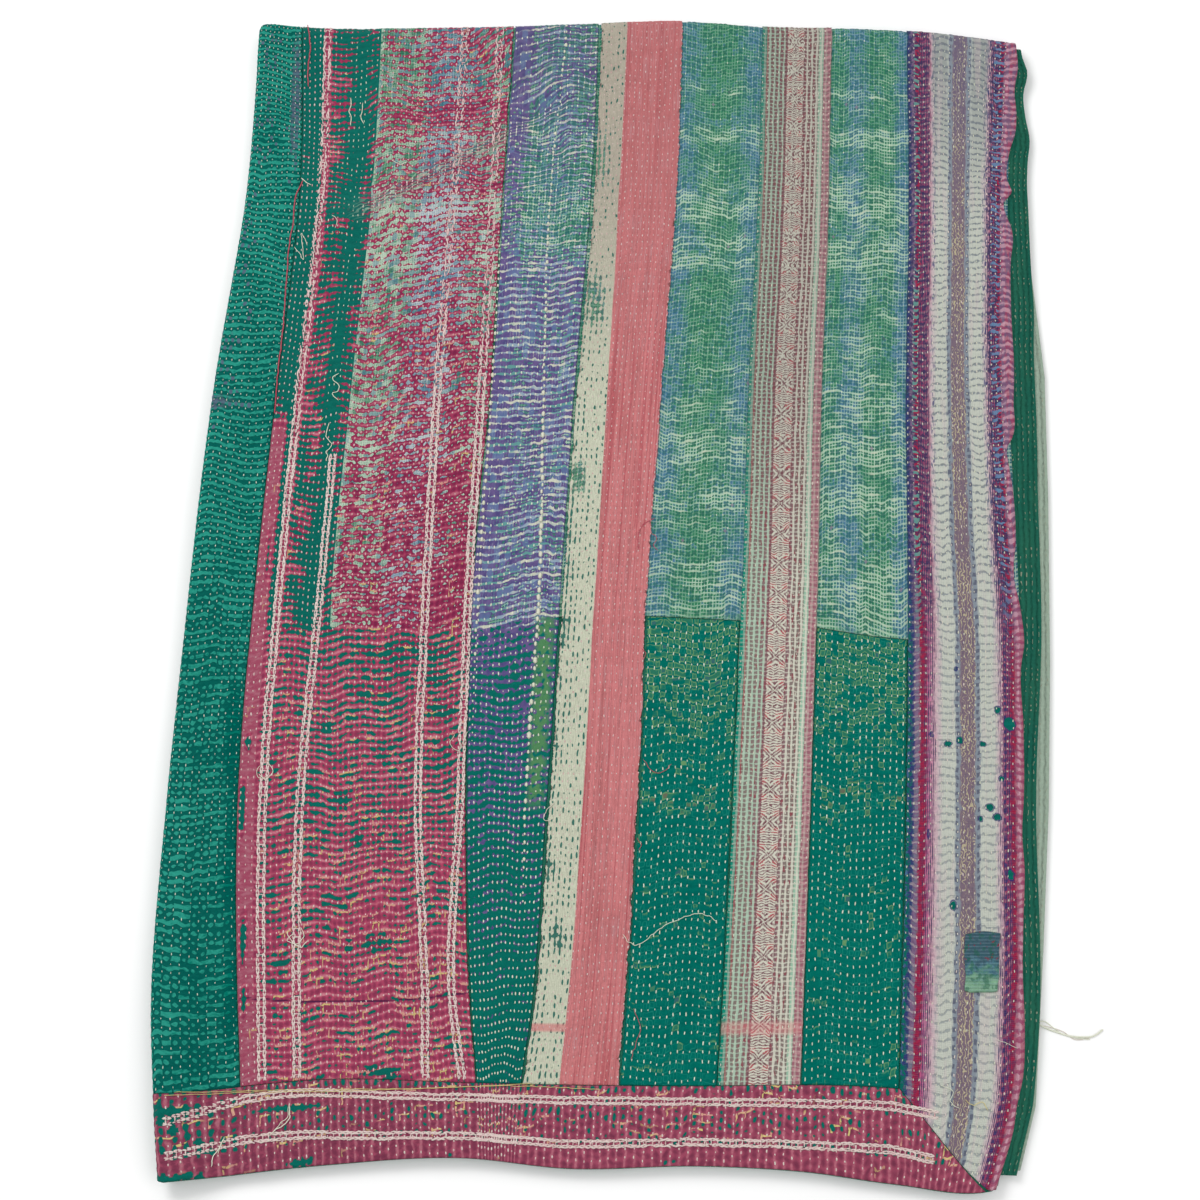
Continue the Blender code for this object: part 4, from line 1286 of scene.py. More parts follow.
def side_border_finish():
    cloth = Cloth("side_border_cloth", 0.88, 0.04)
    share, run = cloth.share, cloth.run
    wander = cloth.noise(run * 8, 0, 2)
    fine = cloth.streaks(90, 150, 3)
    upper = run.step(-0.07, 0.06)
    loose = cloth.streaks(30, 60, 5)
    read = share + wander * 0.02 + fine * 0.02 + loose * 0.02 - 0.03 + upper * 0.03
    base = cloth.ramp(read, SIDE_STRIPES)
    base = base.mixed("berry", read.band(0.16, 0.255, 0.02) * upper * 0.85)
    cell = cloth.mottled(0.7, 0.5, 21)
    puff = 1 - cloth.lines + cell * 0.4
    # The frayed left side: blue blocks, darker and more broken in the upper half
    tufts = cloth.lines.step(0.35, 0.5) * cell.step(0.3, 0.5)
    base = base.mixed("plaid_shadow", read.step(0.075, 0.05) * tufts * 0.8)
    strands = (cloth.lines + cell * 0.6).step(1, 1.2) * read.band(0.05, 0.11, 0.01) * 0.75
    base = base.mixed("linen", strands)
    # Painted shade: dark night furrows along the lines of stitches in the coloured stripes,
    # stronger in the upper half
    coloured = most(read.step(0.28, 0.22), read.step(0.82, 0.86))
    furrows = (cloth.lines + cell * 0.35).step(0.85, 1.1) * coloured * (upper * 0.35 + 0.3)
    base = base.mixed("night", furrows)
    boxed = puff.step(0.6, 0.8) * cloth.row.wave().step(0.25, 0.5)
    boxed = boxed * read.band(0.845, 0.9, 0.012) * (0.85 - upper * 0.8)
    base = base.mixed("navy", boxed)
    dark_left = read.step(0.28, 0.22) * (upper * 0.6 + 0.3)
    base = base.mixed("night", dark_left * cell.step(0.3, 0.7))
    tuft_line = share.band(0.065, 0.12, 0.008)
    tuft = (puff + cloth.cell_chance(31) * 0.7).step(1.3, 1.45)
    base = base.mixed("sea_mist", tuft_line * tuft * (upper * 0.6 + 0.2))
    # The middle band's yellow squiggles
    in_middle = read.band(0.468, 0.6, 0.006)
    squiggle = (share * 34 + cloth.streaks(22, 190, 6) * 1.6).wave()
    bits = cloth.streaks(60, 200, 8)
    yellow = squiggle + bits * 0.4 + cloth.streaks(6, 26, 9) * 0.5
    yellow = yellow.step(1.22, 1.42) * in_middle
    base = base.mixed("straw", yellow * 0.75)
    dots = ((share * 34).wave() + bits * 0.5).step(0.35, 0.15) * in_middle
    base = base.mixed("dusk", dots * 0.6)
    dotted = most(read.band(0.43, 0.452, 0.004), read.band(0.614, 0.638, 0.004))
    base = base.mixed("dusk", dotted * cloth.lines.step(0.3, 0.6) * 0.8)
    # Thin navy and pink lines beside the white
    stripes = (share * 62).wave()
    edges = most(read.band(0.15, 0.25, 0.01), read.band(0.8, 0.915, 0.01))
    dashes = cloth.streaks(62, 110, 11)
    base = base.mixed("night", (dashes + (1 - stripes) + upper * 0.2).step(1.15, 1.35) * edges)
    base = base.mixed("blush", (cloth.lines + stripes * 0.6).step(1.1, 1.45) * edges * 0.45)
    nicks = most(read.band(0.27, 0.31, 0.008), read.band(0.77, 0.82, 0.008))
    nicks = nicks * dashes.step(0.6, 0.72) * (upper * 0.5 + 0.3)
    base = base.mixed("navy", nicks)
    dark_right = read.band(0.82, 0.965, 0.02) * (upper * 0.5 + 0.4)
    base = base.mixed("night", dark_right * cell.step(0.35, 0.65))
    tuft = (puff + cloth.cell_chance(37) * 0.7).step(1.2, 1.35)
    base = base.mixed("sky_deep", read.band(0.86, 0.95, 0.02) * upper * tuft * 0.85)
    # White cloth: thin ribs, and painted shade in grey furrows along the lines of stitches
    open_edge = read.step(0.945, 0.96)
    base = base.mixed("berry", open_edge * (puff + cell).step(1.25, 0.95) * 0.75)
    base = base.mixed("mauve_dark", open_edge * upper * loose.step(0.35, 0.6) * 0.6)
    base = base.mixed("pink_pale", open_edge * upper * tuft * 0.6)
    in_white = most(read.band(0.275, 0.42, 0.015), read.band(0.65, 0.8, 0.015))
    furrow = cloth.lines + cloth.mottled(0.5, 0.5, 41) * 0.6
    dull = run.step(0.36, 0.58)
    furrow = (furrow + dull * 0.15).step(1.05, 1.3) * in_white
    base = base.mixed(cloth.mix("grey", "dusk", dull), furrow * (upper * 0.3 + 0.5))
    base = base.mixed("grey", dull * in_white * 0.6).mixed("mauve_dark", dull * in_middle * 0.4)
    base = base.mixed("linen", cloth.streaks(14, 9, 45).step(0.5, 0.8) * in_white * 0.35)
    # Painted shade: slate where the puffs dip towards the lines of stitches
    base = base.mixed("slate", (puff + bits * 0.3).step(0.65, 0.25) * in_white * 0.3)
    base = base.mixed("grey", (stripes + bits * 0.5).step(1, 1.3) * in_white * 0.25)
    base = base.mixed("slate", fine.step(0.75, 1.1) * in_white * 0.4)
    ribs = (run * 640).wave()
    base = base.mixed("slate", ribs * 0.1)
    gone = (cloth.attribute("worn") + cell * 0.3).step(0.62, 0.7)
    gone = most(gone, read.step(0.06, 0.02) * cell.step(0.4, 0.5) * (1 - upper * 0.7))
    base = base.mixed(teal_ground(cloth), gone)
    ring = (cloth.attribute("worn") + cell * 0.3).band(0.42, 0.63, 0.04)
    base = base.mixed("navy", ring * 0.85)
    return cloth.finish(base, ribs * 0.3 - furrow * 0.8 - gone + cloth.grain(), 0.0004)


def bottom_border_finish():
    cloth = Cloth("bottom_border_cloth", 0.9, 0.04, spread=BORDER_ROWS)
    shade = cloth.mottled(1.2, 1.2, 7)
    # Partly painted light on the ribs along the rows and lines of stitches, partly a random mottle,
    # lifting the wine to magenta
    puff = cloth.threads * 0.4 + shade * 0.7 + cloth.lines * 0.3
    top = cloth.mix("wine_dull", "magenta_dull", puff.step(0.15, 1.05))
    fine = cloth.mottled(0.5, 0.4, 9)
    top = top.mixed("wine_dull", cloth.row.step(62, 14) * fine.step(0.2, 0.7) * 0.8)
    # A painted highlight of rose_pale along the rows of stitches
    pale = (cloth.threads + shade * 0.4 + fine * 0.4).step(1.05, 1.6)
    top = top.mixed("rose_pale", pale * 0.45)
    flecked = loose_weft(cloth, cloth.attribute("fleck") * 0.45, 43)
    top = top.mixed(cloth.mix("butter", "salmon", shade.step(0.3, 0.7)), flecked)
    away = cloth.row.wave().step(0.35, 0.95) * 0.5 + (1 - cloth.lines) * 0.38
    gone = (away + cloth.cell_chance(3) * 0.5 + cloth.attribute("worn")).step(1.34, 1.44)
    colour = top.mixed(teal_ground(cloth), gone)
    return cloth.finish(colour, cloth.threads * 0.45 - gone * 0.8 + cloth.grain(), 0.0004)


def ground_finish():
    cloth = Cloth("ground_cloth", 0.92, 0)
    colour = teal_ground(cloth).mixed("fir", cloth.clouds(90, 20, 3) * 0.5 + 0.45)
    colour = colour.mixed("pale_green", cloth.attribute("pale"))
    dash = cloth.threads.step(0.9, 0.96) * cloth.lines.step(0.4, 0.6)
    sewn = cloth.chance(cloth.row + 0.5, cloth.phase, 13).step(0.7, 0.72)
    colour = colour.mixed("oatmeal", dash * sewn * 0.85)
    relief = cloth.row.wave() * 2 - cloth.lines * 1.5 + cloth.grain()
    return cloth.finish(colour, relief, 0.0005)


DARNED_TONES = (
    (0.0, "sage"), (0.28, "darn_green"), (0.5, "darn_blue"), (0.66, "darn_dark"),
    (1.0, "darn_dark"),
)  # fmt: skip


def patch_finish():
    cloth = Finish("darned_cloth", 0.9, 0.02)
    threads = cloth.clouds(900, 160, 2)
    height = cloth.y + threads * 0.005 + cloth.clouds(110, 150, 12, detail=2) * 0.024
    height = height.step(-0.388, -0.336)
    colour = cloth.ramp(height, DARNED_TONES)
    darns = (cloth.y * 330).wave()
    broken = cloth.clouds(220, 330, 14)
    colour = colour.mixed("sky", (darns + broken * 0.7).step(1, 1.3) * 0.22)
    colour = colour.mixed("dusk", (1 - darns + broken * 0.5).step(1.05, 1.3) * 0.35)
    colour = colour.mixed("forest", cloth.clouds(170, 130, 21).step(0.6, 0.7) * 0.5)
    specks = cloth.clouds(300, 260, 4).step(0.72, 0.85) * height.step(0.55, 0.8)
    colour = colour.mixed("brick_dark", specks * 0.8)
    return cloth.finish(colour, threads + darns + cloth.grain(), 0.0005)


THREAD_TONES = (
    (0.0, "mint_pale"), (0.06, "ivory"), (0.2, "cream"), (0.36, "yarn"), (0.55, "blush"),
    (0.7, "rose"), (0.85, "butter"), (1.0, "crimson_soft"),
)  # fmt: skip


def thread_finish():
    cloth = Finish("stitch_thread", 0.75, 0.06)
    twist = cloth.clouds(1500, 700, 2)
    colour = cloth.ramp(cloth.attribute("tone"), THREAD_TONES)
    colour = colour.mixed("oatmeal", twist.step(0.3, 1) * 0.3)
    return cloth.finish(colour, twist, 0.0002)


# ---- Stitches ----

def stitch_tree(thread):
    """A tree that sets one plump stitch on every point, along the point's own direction."""
    tree = bpy.data.node_groups.new("running_stitch", "GeometryNodeTree")
    inputs = (
        ("Geometry", "Geometry", None),
        ("Sides", "Int", 4),
        ("Rings", "Int", 3),
        ("Unevenness", "Float", 0.25),
        ("Seed", "Int", 7),
    )
    for name, kind, value in inputs:
        socket = tree.interface.new_socket(name, in_out="INPUT", socket_type="NodeSocket" + kind)
        if value is not None:
            socket.default_value = value
    tree.interface.new_socket("Geometry", in_out="OUTPUT", socket_type="NodeSocketGeometry")

    def add(kind, inputs, output=0, **settings):
        return new_node(tree, kind, inputs, **settings).outputs[output]

    def named(name):
        kind = "GeometryNodeInputNamedAttribute"
        return add(kind, {"Name": name}, "Attribute", data_type="FLOAT_VECTOR")

    start = tree.nodes.new("NodeGroupInput").outputs
    inputs = {"Segments": start["Sides"], "Rings": start["Rings"], "Radius": 0.5}
    ball = add("GeometryNodeMeshUVSphere", inputs)
    inputs = {"Primary Axis": named("along"), "Secondary Axis": named("up")}
    turn = add("FunctionNodeAxesToRotation", inputs, primary_axis="Z", secondary_axis="X")
    smallest, largest = (
        add("ShaderNodeMath", {0: 1, 1: start["Unevenness"]}, operation=operation)
        for operation in ("SUBTRACT", "ADD")
    )
    inputs = {2: smallest, 3: largest, "Seed": start["Seed"]}
    uneven = add("FunctionNodeRandomValue", inputs, 1)
    inputs = {0: named("size"), "Scale": uneven}
    size = add("ShaderNodeVectorMath", inputs, operation="SCALE")
    inputs = {"Points": start["Geometry"], "Instance": ball, "Rotation": turn, "Scale": size}
    shape = add("GeometryNodeInstanceOnPoints", inputs)
    shape = add("GeometryNodeRealizeInstances", {0: shape})
    shape = add("GeometryNodeSetShadeSmooth", {0: shape})
    shape = add("GeometryNodeSetMaterial", {0: shape, "Material": thread})
    new_node(tree, "NodeGroupOutput", {0: shape})
    return tree


def stitches_on(name, points, tree, seed):
    """One mesh of stitches from a table of places, directions, sizes and tones."""
    cloud = bpy.data.meshes.new(name + "_places")
    cloud.vertices.add(len(points["place"]))
    places = (points["place"] + PLAN_TO_FRAME) * MM
    cloud.vertices.foreach_set("co", places.astype(np.float32).ravel())
    for key in ("along", "up", "size"):
        layer = cloud.attributes.new(key, "FLOAT_VECTOR", "POINT")
        layer.data.foreach_set("vector", points[key].astype(np.float32).ravel())
    vertex_values(cloud, "tone", points["tone"])
    holder = add_object(cloud.name, cloud)
    modifier = holder.modifiers.new("Stitches", "NODES")
    modifier.node_group = tree
    modifier[tree.interface.items_tree["Seed"].identifier] = seed
    bpy.context.view_layer.update()
    evaluated = holder.evaluated_get(bpy.context.evaluated_depsgraph_get())
    mesh = bpy.data.meshes.new_from_object(evaluated)
    mesh.name = name
    holder.modifiers.remove(modifier)
    bpy.data.objects.remove(holder)
    return add_object(name, mesh)


def thread_points(rows, counts, stand, size, tone, turn=0.0):
    """Places for stitches at rows and counts; turn swings them from along the row to across it."""
    place, up = face_place(rows, counts, stand)
    ahead = face_mid(rows, counts + 0.1) - face_mid(rows, counts - 0.1)
    ahead /= np.linalg.norm(ahead, axis=-1, keepdims=True)
    side = np.cross(ahead, up)
    turn = np.broadcast_to(turn, rows.shape)[:, None]
    heading = ahead * np.cos(turn) + side * np.sin(turn)
    size = np.broadcast_to(np.asarray(size, float) * MM, (len(rows), 3))
    tone = np.broadcast_to(tone, rows.shape).astype(float)
    return {"place": place, "along": heading, "up": up, "size": size, "tone": tone}


def gathered(tables):
    return {key: np.concatenate([table[key] for table in tables]) for key in tables[0]}


def row_stitches(row, near, far, stand, tone, missing, size, rng):
    """The running stitches of one row, between two counts.

    missing is the share of them that has gone, and size their length, width and thickness.
    """
    first, last = stitch_phase(row, near), stitch_phase(row, far)
    phases = np.arange(math.ceil(first + 0.25), math.floor(last - 0.2) + 1, dtype=float)
    fine = np.arange(near, far + 0.1, 0.1)
    counts = np.interp(phases, np.maximum.accumulate(stitch_phase(row, fine)), fine)
    kept = rng.uniform(size=len(counts)) > missing
    counts = counts[kept] + rng.uniform(-0.06, 0.06, kept.sum())
    rows = row + rng.uniform(-0.07, 0.07, len(counts))
    length = size[0] * rng.uniform(0.75, 1.25, len(counts))
    sizes = np.stack([np.full_like(length, size[2]), np.full_like(length, size[1]), length], -1)
    height = stand(rows, counts) + pucker(rows, counts) * PUCKER * 0.5 + 0.15
    tones = np.clip(tone + rng.uniform(-0.1, 0.1, len(counts)), 0, 1)
    return thread_points(rows, counts, height, sizes, tones, rng.uniform(-0.14, 0.14, len(counts)))


def face_top(kind):
    """How far the face of a kind of piece stands off the quilted cloth's mid surface."""
    thickness = FACE if kind is against_ground else PIECE
    return lambda rows, counts: kind(rows, counts) + thickness


def foot_of(row):
    """The count at which a row leaves the bottom border."""
    if row < ROW_ON["side_border_left"]:
        return BORDER_COUNT
    spread = np.linspace(0.2, BORDER_COUNT, 40)
    return float(np.interp(row, mitre_row(spread)[::-1], spread[::-1]))


def all_stitches(rng):
    """Every running stitch of the top face, in three bundles from left to right."""
    green, pieces, raised = face_top(against_ground), face_top(on_ground), face_top(on_plaid)
    end, bare, bold = FAR_COUNT + 2.2, count_of(190.0), (2.6, 1.3, 0.85)
    open_cloth = (
        (0, SEAM_COUNT - 0.3, green, 0.1, 0.03, (3.2, 1.15, 0.8)),
        (SEAM_COUNT + 0.2, end, pieces, -0.02, 0.45, (1.9, 0.9, 0.6)),
    )
    worn_corner = (
        (0, bare, raised, 0.45, 0.03, bold),
        (bare + 0.2, end, raised, 0.06, 0.4, (2.5, 0.9, 0.6)),
    )
    _, magenta, plaid, purple, cream, pink_end, woven, woven_end, border, edge = ROW_ON.values()
    zones = (
        # first row past the zone, and its runs: ends, stand, tone, share that has gone, size
        (magenta, [(0, end, green, 0.1, 0.06, (2.1, 0.8, 0.6))]),
        (15, [(0, end, raised, 0.45, 0.03, bold)]),
        (plaid, worn_corner),
        (purple, [(0, end, raised, 0.45, 0.03, bold)]),
        (cream, [(0, end, raised, 0.12, 0.1, bold)]),
        (pink_end, [(0, end, raised, 0.46, 0.03, (2.2, 1.0, 0.7))]),
        (woven, open_cloth),
        (woven_end, [(0, end, raised, 0.2, 0.3, (2.4, 0.9, 0.7))]),
        (border, open_cloth),
        (edge - 1, [(0, end, raised, 0.25, 0.3, (2.4, 1.0, 0.7))]),
        # The row on the very edge takes its random draws and leaves no stitch
        (edge, [(0, end, raised, 0.25, 1.0, (2.4, 1.0, 0.7))]),
    )
    bundles = {"running_stitch_left": [], "running_stitch_middle": [], "running_stitch_right": []}
    left, middle, right = bundles.values()

    def add(row, near, *rest):
        bundle = left if row < purple else middle if row < woven else right
        bundle.append(row_stitches(row, near, *rest, rng))

    for number in range(-1, edge):
        row = number + 0.5
        for near, *rest in next(runs for limit, runs in zones if number < limit):
            add(row, max(near, foot_of(row)), *rest)
    for number in range(int((edge - 2) / BORDER_ROWS)):
        row = (number + 0.5) * BORDER_ROWS
        add(row, 0.3, foot_of(row), pieces, 0.4, 0.03, (2.6, 1.4, 0.85))
    return {name: gathered(tables) for name, tables in bundles.items()}


# White yarn of the magenta panel, and the columns of beads beside it
YARN_STATION_Y = (590, 410, 200, 0, -200, -390, -460)
YARN_STRIPES = (
    # X at each station, Y where it starts; how worn it is, from which Y on and over what length
    ((-272, -274, -289, -301, -308, -302, -299), 620, 0.28, 240, 100),
    ((-235, -240, -251, -262, -274, -271, -268), 128, 0.0, 240, 100),
    ((-135, -144, -156, -163, -166, -156, -155), 620, 0.45, 330, 160),
    ((-100, -105, -114, -123, -128, -131, -121), 620, 0.45, 330, 160),
)
BEAD_LINES = (
    # X at each station, first and last Y, size
    ((-33, -49, -54, -57, -68, -70, -71), 620, -290, 1.3),
    ((-92, -96, -104, -114, -119, -119, -119), 350, -140, 1.05),
    ((-118, -118, -119, -124, -119, -119, -119), 350, 200, 0.5),
)
# The same in the bottom border: nominal Y at each station
BORDER_YARN_X = (-386, -327, -177, 0, 176, 264, 320)
BORDER_YARN = (
    (-480, -468, -470, -469, -471, -470, -474),
    (-509, -502, -508, -508, -507, -504, -509),
)


def yarn_ladder(rows, counts, stand, rng, turn, thin):
    """Two strands of looped yarn with short rungs between them, along a line of places.

    thin says how far the yarn has worn away at each place.
    """
    tables = []
    number = len(rows)
    sway = 0.1 * soft_noise(np.arange(number) / 2.3, turn + rows[0], 61)
    length = 5.0 if turn == 0 else 4.4

    def add(kept, offset, ahead, uneven, size, tone, bend):
        """One lane of short threads beside the line, each a little ahead of its place."""
        lane_rows = rows + offset * math.cos(turn) + ahead * math.sin(turn)
        lane_counts = counts + offset * math.sin(turn) * ROW_TO_STITCH + ahead * math.cos(turn)
        height = stand(lane_rows, lane_counts) + 0.6 + uneven
        table = thread_points(lane_rows, lane_counts, height, size, tone, turn + bend)
        tables.append({key: values[kept] for key, values in table.items()})

    for ahead, swing in ((0.0, -0.2), (0.5, 0.2)):
        for offset, lean in ((-0.6, 1), (-0.36, -1), (0.36, -1), (0.6, 1)):
            kept = rng.uniform(size=number) > thin
            place = offset + sway + rng.uniform(-0.05, 0.05, number)
            uneven = rng.uniform(-0.1, 0.15, number)
            bend = swing * lean + rng.uniform(-0.1, 0.1, number)
            tone = rng.uniform(0.3, 0.46, number) + 0.16 * thin
            size = np.stack([np.full(number, 1.1), 1.75 - 0.5 * thin, np.full(number, length)], -1)
            add(kept, place, ahead, uneven, size, tone, bend)
    for offset in (-0.15, 0.15):
        kept = rng.uniform(size=number) > 0.1 + thin
        tone = rng.uniform(0.34, 0.55, number)
        add(kept, offset + sway, 0.1, 0.0, (0.9, 1.4, 2.6), tone, math.pi / 2)
    return tables


def yarn_points(rng):
    """The ladders of white yarn and the columns of beads, in two bundles."""
    raised, pieces = face_top(on_plaid), face_top(on_ground)
    upright, level = [], []

    def down_the_panel(places, start, first):
        counts = np.arange(first, count_of(min(start, TANGENT_Y)) + 1.5, 1.0)
        nominal = nominal_of(counts)
        return row_at(through(nominal, YARN_STATION_Y, places), nominal), counts, nominal

    for places, start, worn, from_y, reach in YARN_STRIPES:
        rows, counts, nominal = down_the_panel(places, start, BORDER_COUNT + 0.6)
        thin = 0.04 + worn * fade((from_y - nominal) / reach)
        upright += yarn_ladder(rows, counts, raised, rng, 0.0, thin)
    for places in BORDER_YARN:
        rows = np.arange(0.5, 133.0, 1.0)
        x = row_x(rows, -480.0, 0.0)
        counts = count_of(through(x, BORDER_YARN_X, places))
        level += yarn_ladder(rows, counts, pieces, rng, math.pi / 2, np.full(len(rows), 0.04))
    for places, start, end, scale in BEAD_LINES:
        rows, counts, nominal = down_the_panel(places, start, count_of(end))
        shrink = scale * np.interp(nominal, (end, end + 170, 200, 450), (0.4, 1.0, 0.85, 0.55))
        shrink = shrink * rng.uniform(0.75, 1.15, len(rows))
        size = np.stack([1.5 * shrink, 3.2 * shrink, 4.9 * shrink], -1)
        rows = rows + rng.uniform(-0.1, 0.1, len(rows))
        level.append(thread_points(rows, counts, raised(rows, counts) + 0.5, size, 0.22))
    return {"white_yarn_upright": gathered(upright), "white_yarn_level": gathered(level)}


# Loose threads that lie on the quilt: radius, tone, how tangled, then points X, Y
LOOSE_THREADS = (
    (0.30, 0.1, 1.2, ((20, -320), (26, -328), (32, -330), (47, -321), (61, -311), (77, -305),
                      (90, -302), (99, -304), (106, -309))),
    (0.45, 0.1, 0.8, ((-331, -503), (-335, -512), (-339, -519), (-341, -527))),
    (0.35, 0.2, 0.8, ((-330, -500), (-333, -508), (-335, -516))),
    (0.45, 0.1, 1.0, ((-274, -472), (-273, -481), (-277, -490), (-284, -494), (-290, -499))),
    (0.35, 0.15, 1.0, ((-275, -474), (-276, -484), (-281, -489), (-288, -496))),
    (0.30, 1.0, 0.8, ((52, 76), (45, 72), (39, 66), (36, 55), (35, 44))),
    (0.28, 1.0, 0.8, ((30, -388), (34, -397), (36, -406), (32, -419), (27, -433))),
    (0.28, 1.0, 0.8, ((40, -158), (46, -168), (52, -171), (60, -168), (66, -163))),
    (0.28, 1.0, 0.8, ((49, 61), (53, 55), (50, 49), (55, 44))),
    (0.28, 1.0, 0.8, ((38, -52), (43, -57), (40, -62))),
    (0.28, 1.0, 0.8, ((33, -232), (38, -238), (35, -244))),
    (0.22, 0.1, 0.6, ((352, -415), (363, -419), (371, -423))),
    (0.30, 0.2, 1.0, ((-310, -163), (-314, -169), (-310, -177), (-304, -173))),
    (0.35, 0.1, 1.0, ((-305, -160), (-300, -168), (-306, -178), (-312, -172))),
    (0.30, 0.2, 1.0, ((-134, -134), (-138, -144), (-131, -150), (-126, -141), (-122, -132))),
    (0.30, 0.3, 1.0, ((-41, -200), (-49, -207), (-50, -216), (-43, -214))),
    (0.35, 0.1, 1.0, ((-276, -320), (-281, -326), (-273, -330), (-266, -323), (-270, -314))),
    (0.35, 0.1, 1.0, ((-282, -318), (-276, -328), (-268, -332), (-263, -326))),
    (0.45, 0.15, 0.6, ((-248, 520), (-247, 512), (-249, 506), (-246, 497), (-247, 489))),
    (0.40, 0.15, 0.6, ((-236, 515), (-235, 508), (-237, 502), (-234, 491))),
    (0.40, 0.15, 1.5, ((-250, 224), (-256, 219), (-249, 211), (-256, 203), (-251, 196))),
    (0.40, 0.15, 1.5, ((-258, 173), (-261, 161), (-256, 151), (-260, 144), (-259, 134))),
    (0.30, 0.1, 1.5, ((-297, 356), (-288, 343), (-291, 371), (-286, 358))),
    (0.30, 0.1, 1.0, ((-262, 392), (-256, 384), (-259, 377))),
    (0.25, 0.85, 0.5, ((-384, -466), (-318, -462), (-239, -461), (-177, -459), (-89, -456),
                       (0, -459))),
    (0.25, 0.85, 0.5, ((-375, -463), (-300, -460), (-220, -459), (-150, -458), (-60, -454))),
    (0.30, 0.15, 1.0, ((300, -455), (312, -462), (309, -470), (318, -476))),
    (0.30, 0.85, 1.0, ((322, -468), (330, -474), (336, -470), (342, -478))),
    (0.55, 1.0, 0.4, ((-292, 598), (-289, 575), (-291, 548), (-290, 532))),
    (0.60, 1.0, 0.4, ((-292, 428), (-298, 412), (-300, 380), (-303, 356), (-304, 329),
                      (-305, 303), (-306, 271), (-309, 229), (-311, 183))),
    (0.40, 0.1, 0.6, ((-293, 431), (-289, 427), (-284, 424))),
    (0.30, 0.1, 1.2, ((-206, 452), (-198, 446), (-190, 449))),
)  # fmt: skip
# The wisp that trails off the open edge onto the floor: radius and tone of each strand, points
WISPS = (
    (0.8, 0.1, ((380, -392), (389, -398), (399, -403), (410, -407), (420, -410), (432, -411),
                (441, -410), (450, -404))),
    (0.5, 0.1, ((380, -393), (389, -398), (398, -397), (406, -403), (415, -409), (427, -412),
                (438, -413))),
    (0.35, 0.3, ((381, -394), (390, -400), (402, -402), (414, -406), (424, -413), (436, -412),
                 (446, -408))),
)  # fmt: skip


def face_height(x, y):
    """How high the stitched face is at a place on the quilt's plan."""
    nominal = y + 0.0
    for _ in range(6):
        nominal = nominal + y - row_y(nominal, x, 0.0)
    nominal = np.minimum(nominal, TANGENT_Y)
    rows, counts = row_at(x, nominal), count_of(nominal)
    point, _ = face_place(rows, counts, face_top(on_plaid)(rows, counts) + 0.5 * PUCKER)
    return point[..., 2]


def tube(path, radius, sides=5):
    """Points and faces of a round thread, tapered at its ends."""
    ahead = np.gradient(path, axis=0)
    ahead /= np.linalg.norm(ahead, axis=1, keepdims=True)
    side = np.cross(ahead, (0.0, 0.0, 1.0))
    side /= np.linalg.norm(side, axis=1, keepdims=True)
    up = np.cross(side, ahead)
    angle = np.arange(sides) * 2 * math.pi / sides
    thick = np.full(len(path), radius)
    thick[[0, -1]] *= 0.3
    ring = side[:, None] * np.cos(angle)[:, None] + up[:, None] * np.sin(angle)[:, None]
    points = (path[:, None] + ring * thick[:, None, None]).reshape(-1, 3)
    faces = []
    for k in range(len(path) - 1):
        for j in range(sides):
            a, b = k * sides + j, k * sides + (j + 1) % sides
            faces.append((a, b, b + sides, a + sides))
    last = (len(path) - 1) * sides
    faces.append(tuple(range(sides))[::-1])
    faces.append(tuple(range(last, last + sides)))
    return points, faces


def loose_threads(thread, rng):
    """Every loose thread and the wisp, as one mesh."""
    points, faces, tones = [], [], []

    def keep(path, radius, tone):
        new_points, new_faces = tube(path, radius)
        first = sum(len(group) for group in points)
        faces.extend(tuple(first + corner for corner in face) for face in new_faces)
        points.append(new_points)
        tones.append(np.full(len(new_points), tone))

    for radius, tone, tangle, places in LOOSE_THREADS:
        length = np.concatenate([[0], np.cumsum(np.hypot(*np.diff(places, axis=0).T))])
        steps = np.linspace(0, length[-1], max(12, int(length[-1] / 1.6)))
        x, y = (through(steps, length, values) for values in zip(*places))
        seed = int(rng.randint(1000))
        x = x + tangle * soft_noise(steps / 4, seed, 81)
        y = y + tangle * soft_noise(steps / 4, seed + 7.5, 83)
        lifted = 0.4 + tangle * 0.5 * (1 + soft_noise(steps / 5, seed, 87))
        keep(np.stack([x, y, face_height(x, y) + lifted], -1), radius, tone)
    for radius, tone, places in WISPS:
        steps = np.linspace(0, len(places) - 1, 60)
        x, y = (through(steps, np.arange(len(places)), values) for values in zip(*places))
        # It comes out between the layers and drops to the floor
        z = np.interp(steps, (0, 1.2, 2.2), (4.5, 3.2, radius + 0.2))
        keep(np.stack([x, y, z], -1), radius, tone)
    mesh = bpy.data.meshes.new("loose_threads")
    placed = (np.concatenate(points) + PLAN_TO_FRAME) * MM
    mesh.from_pydata(placed.tolist(), [], faces)
    mesh.shade_smooth()
    vertex_values(mesh, "tone", np.concatenate(tones))
    mesh.materials.append(thread)
    obj = bpy.data.objects.new("loose_threads", mesh)
    bpy.context.scene.collection.objects.link(obj)
    return obj


# ---- The quilt ----

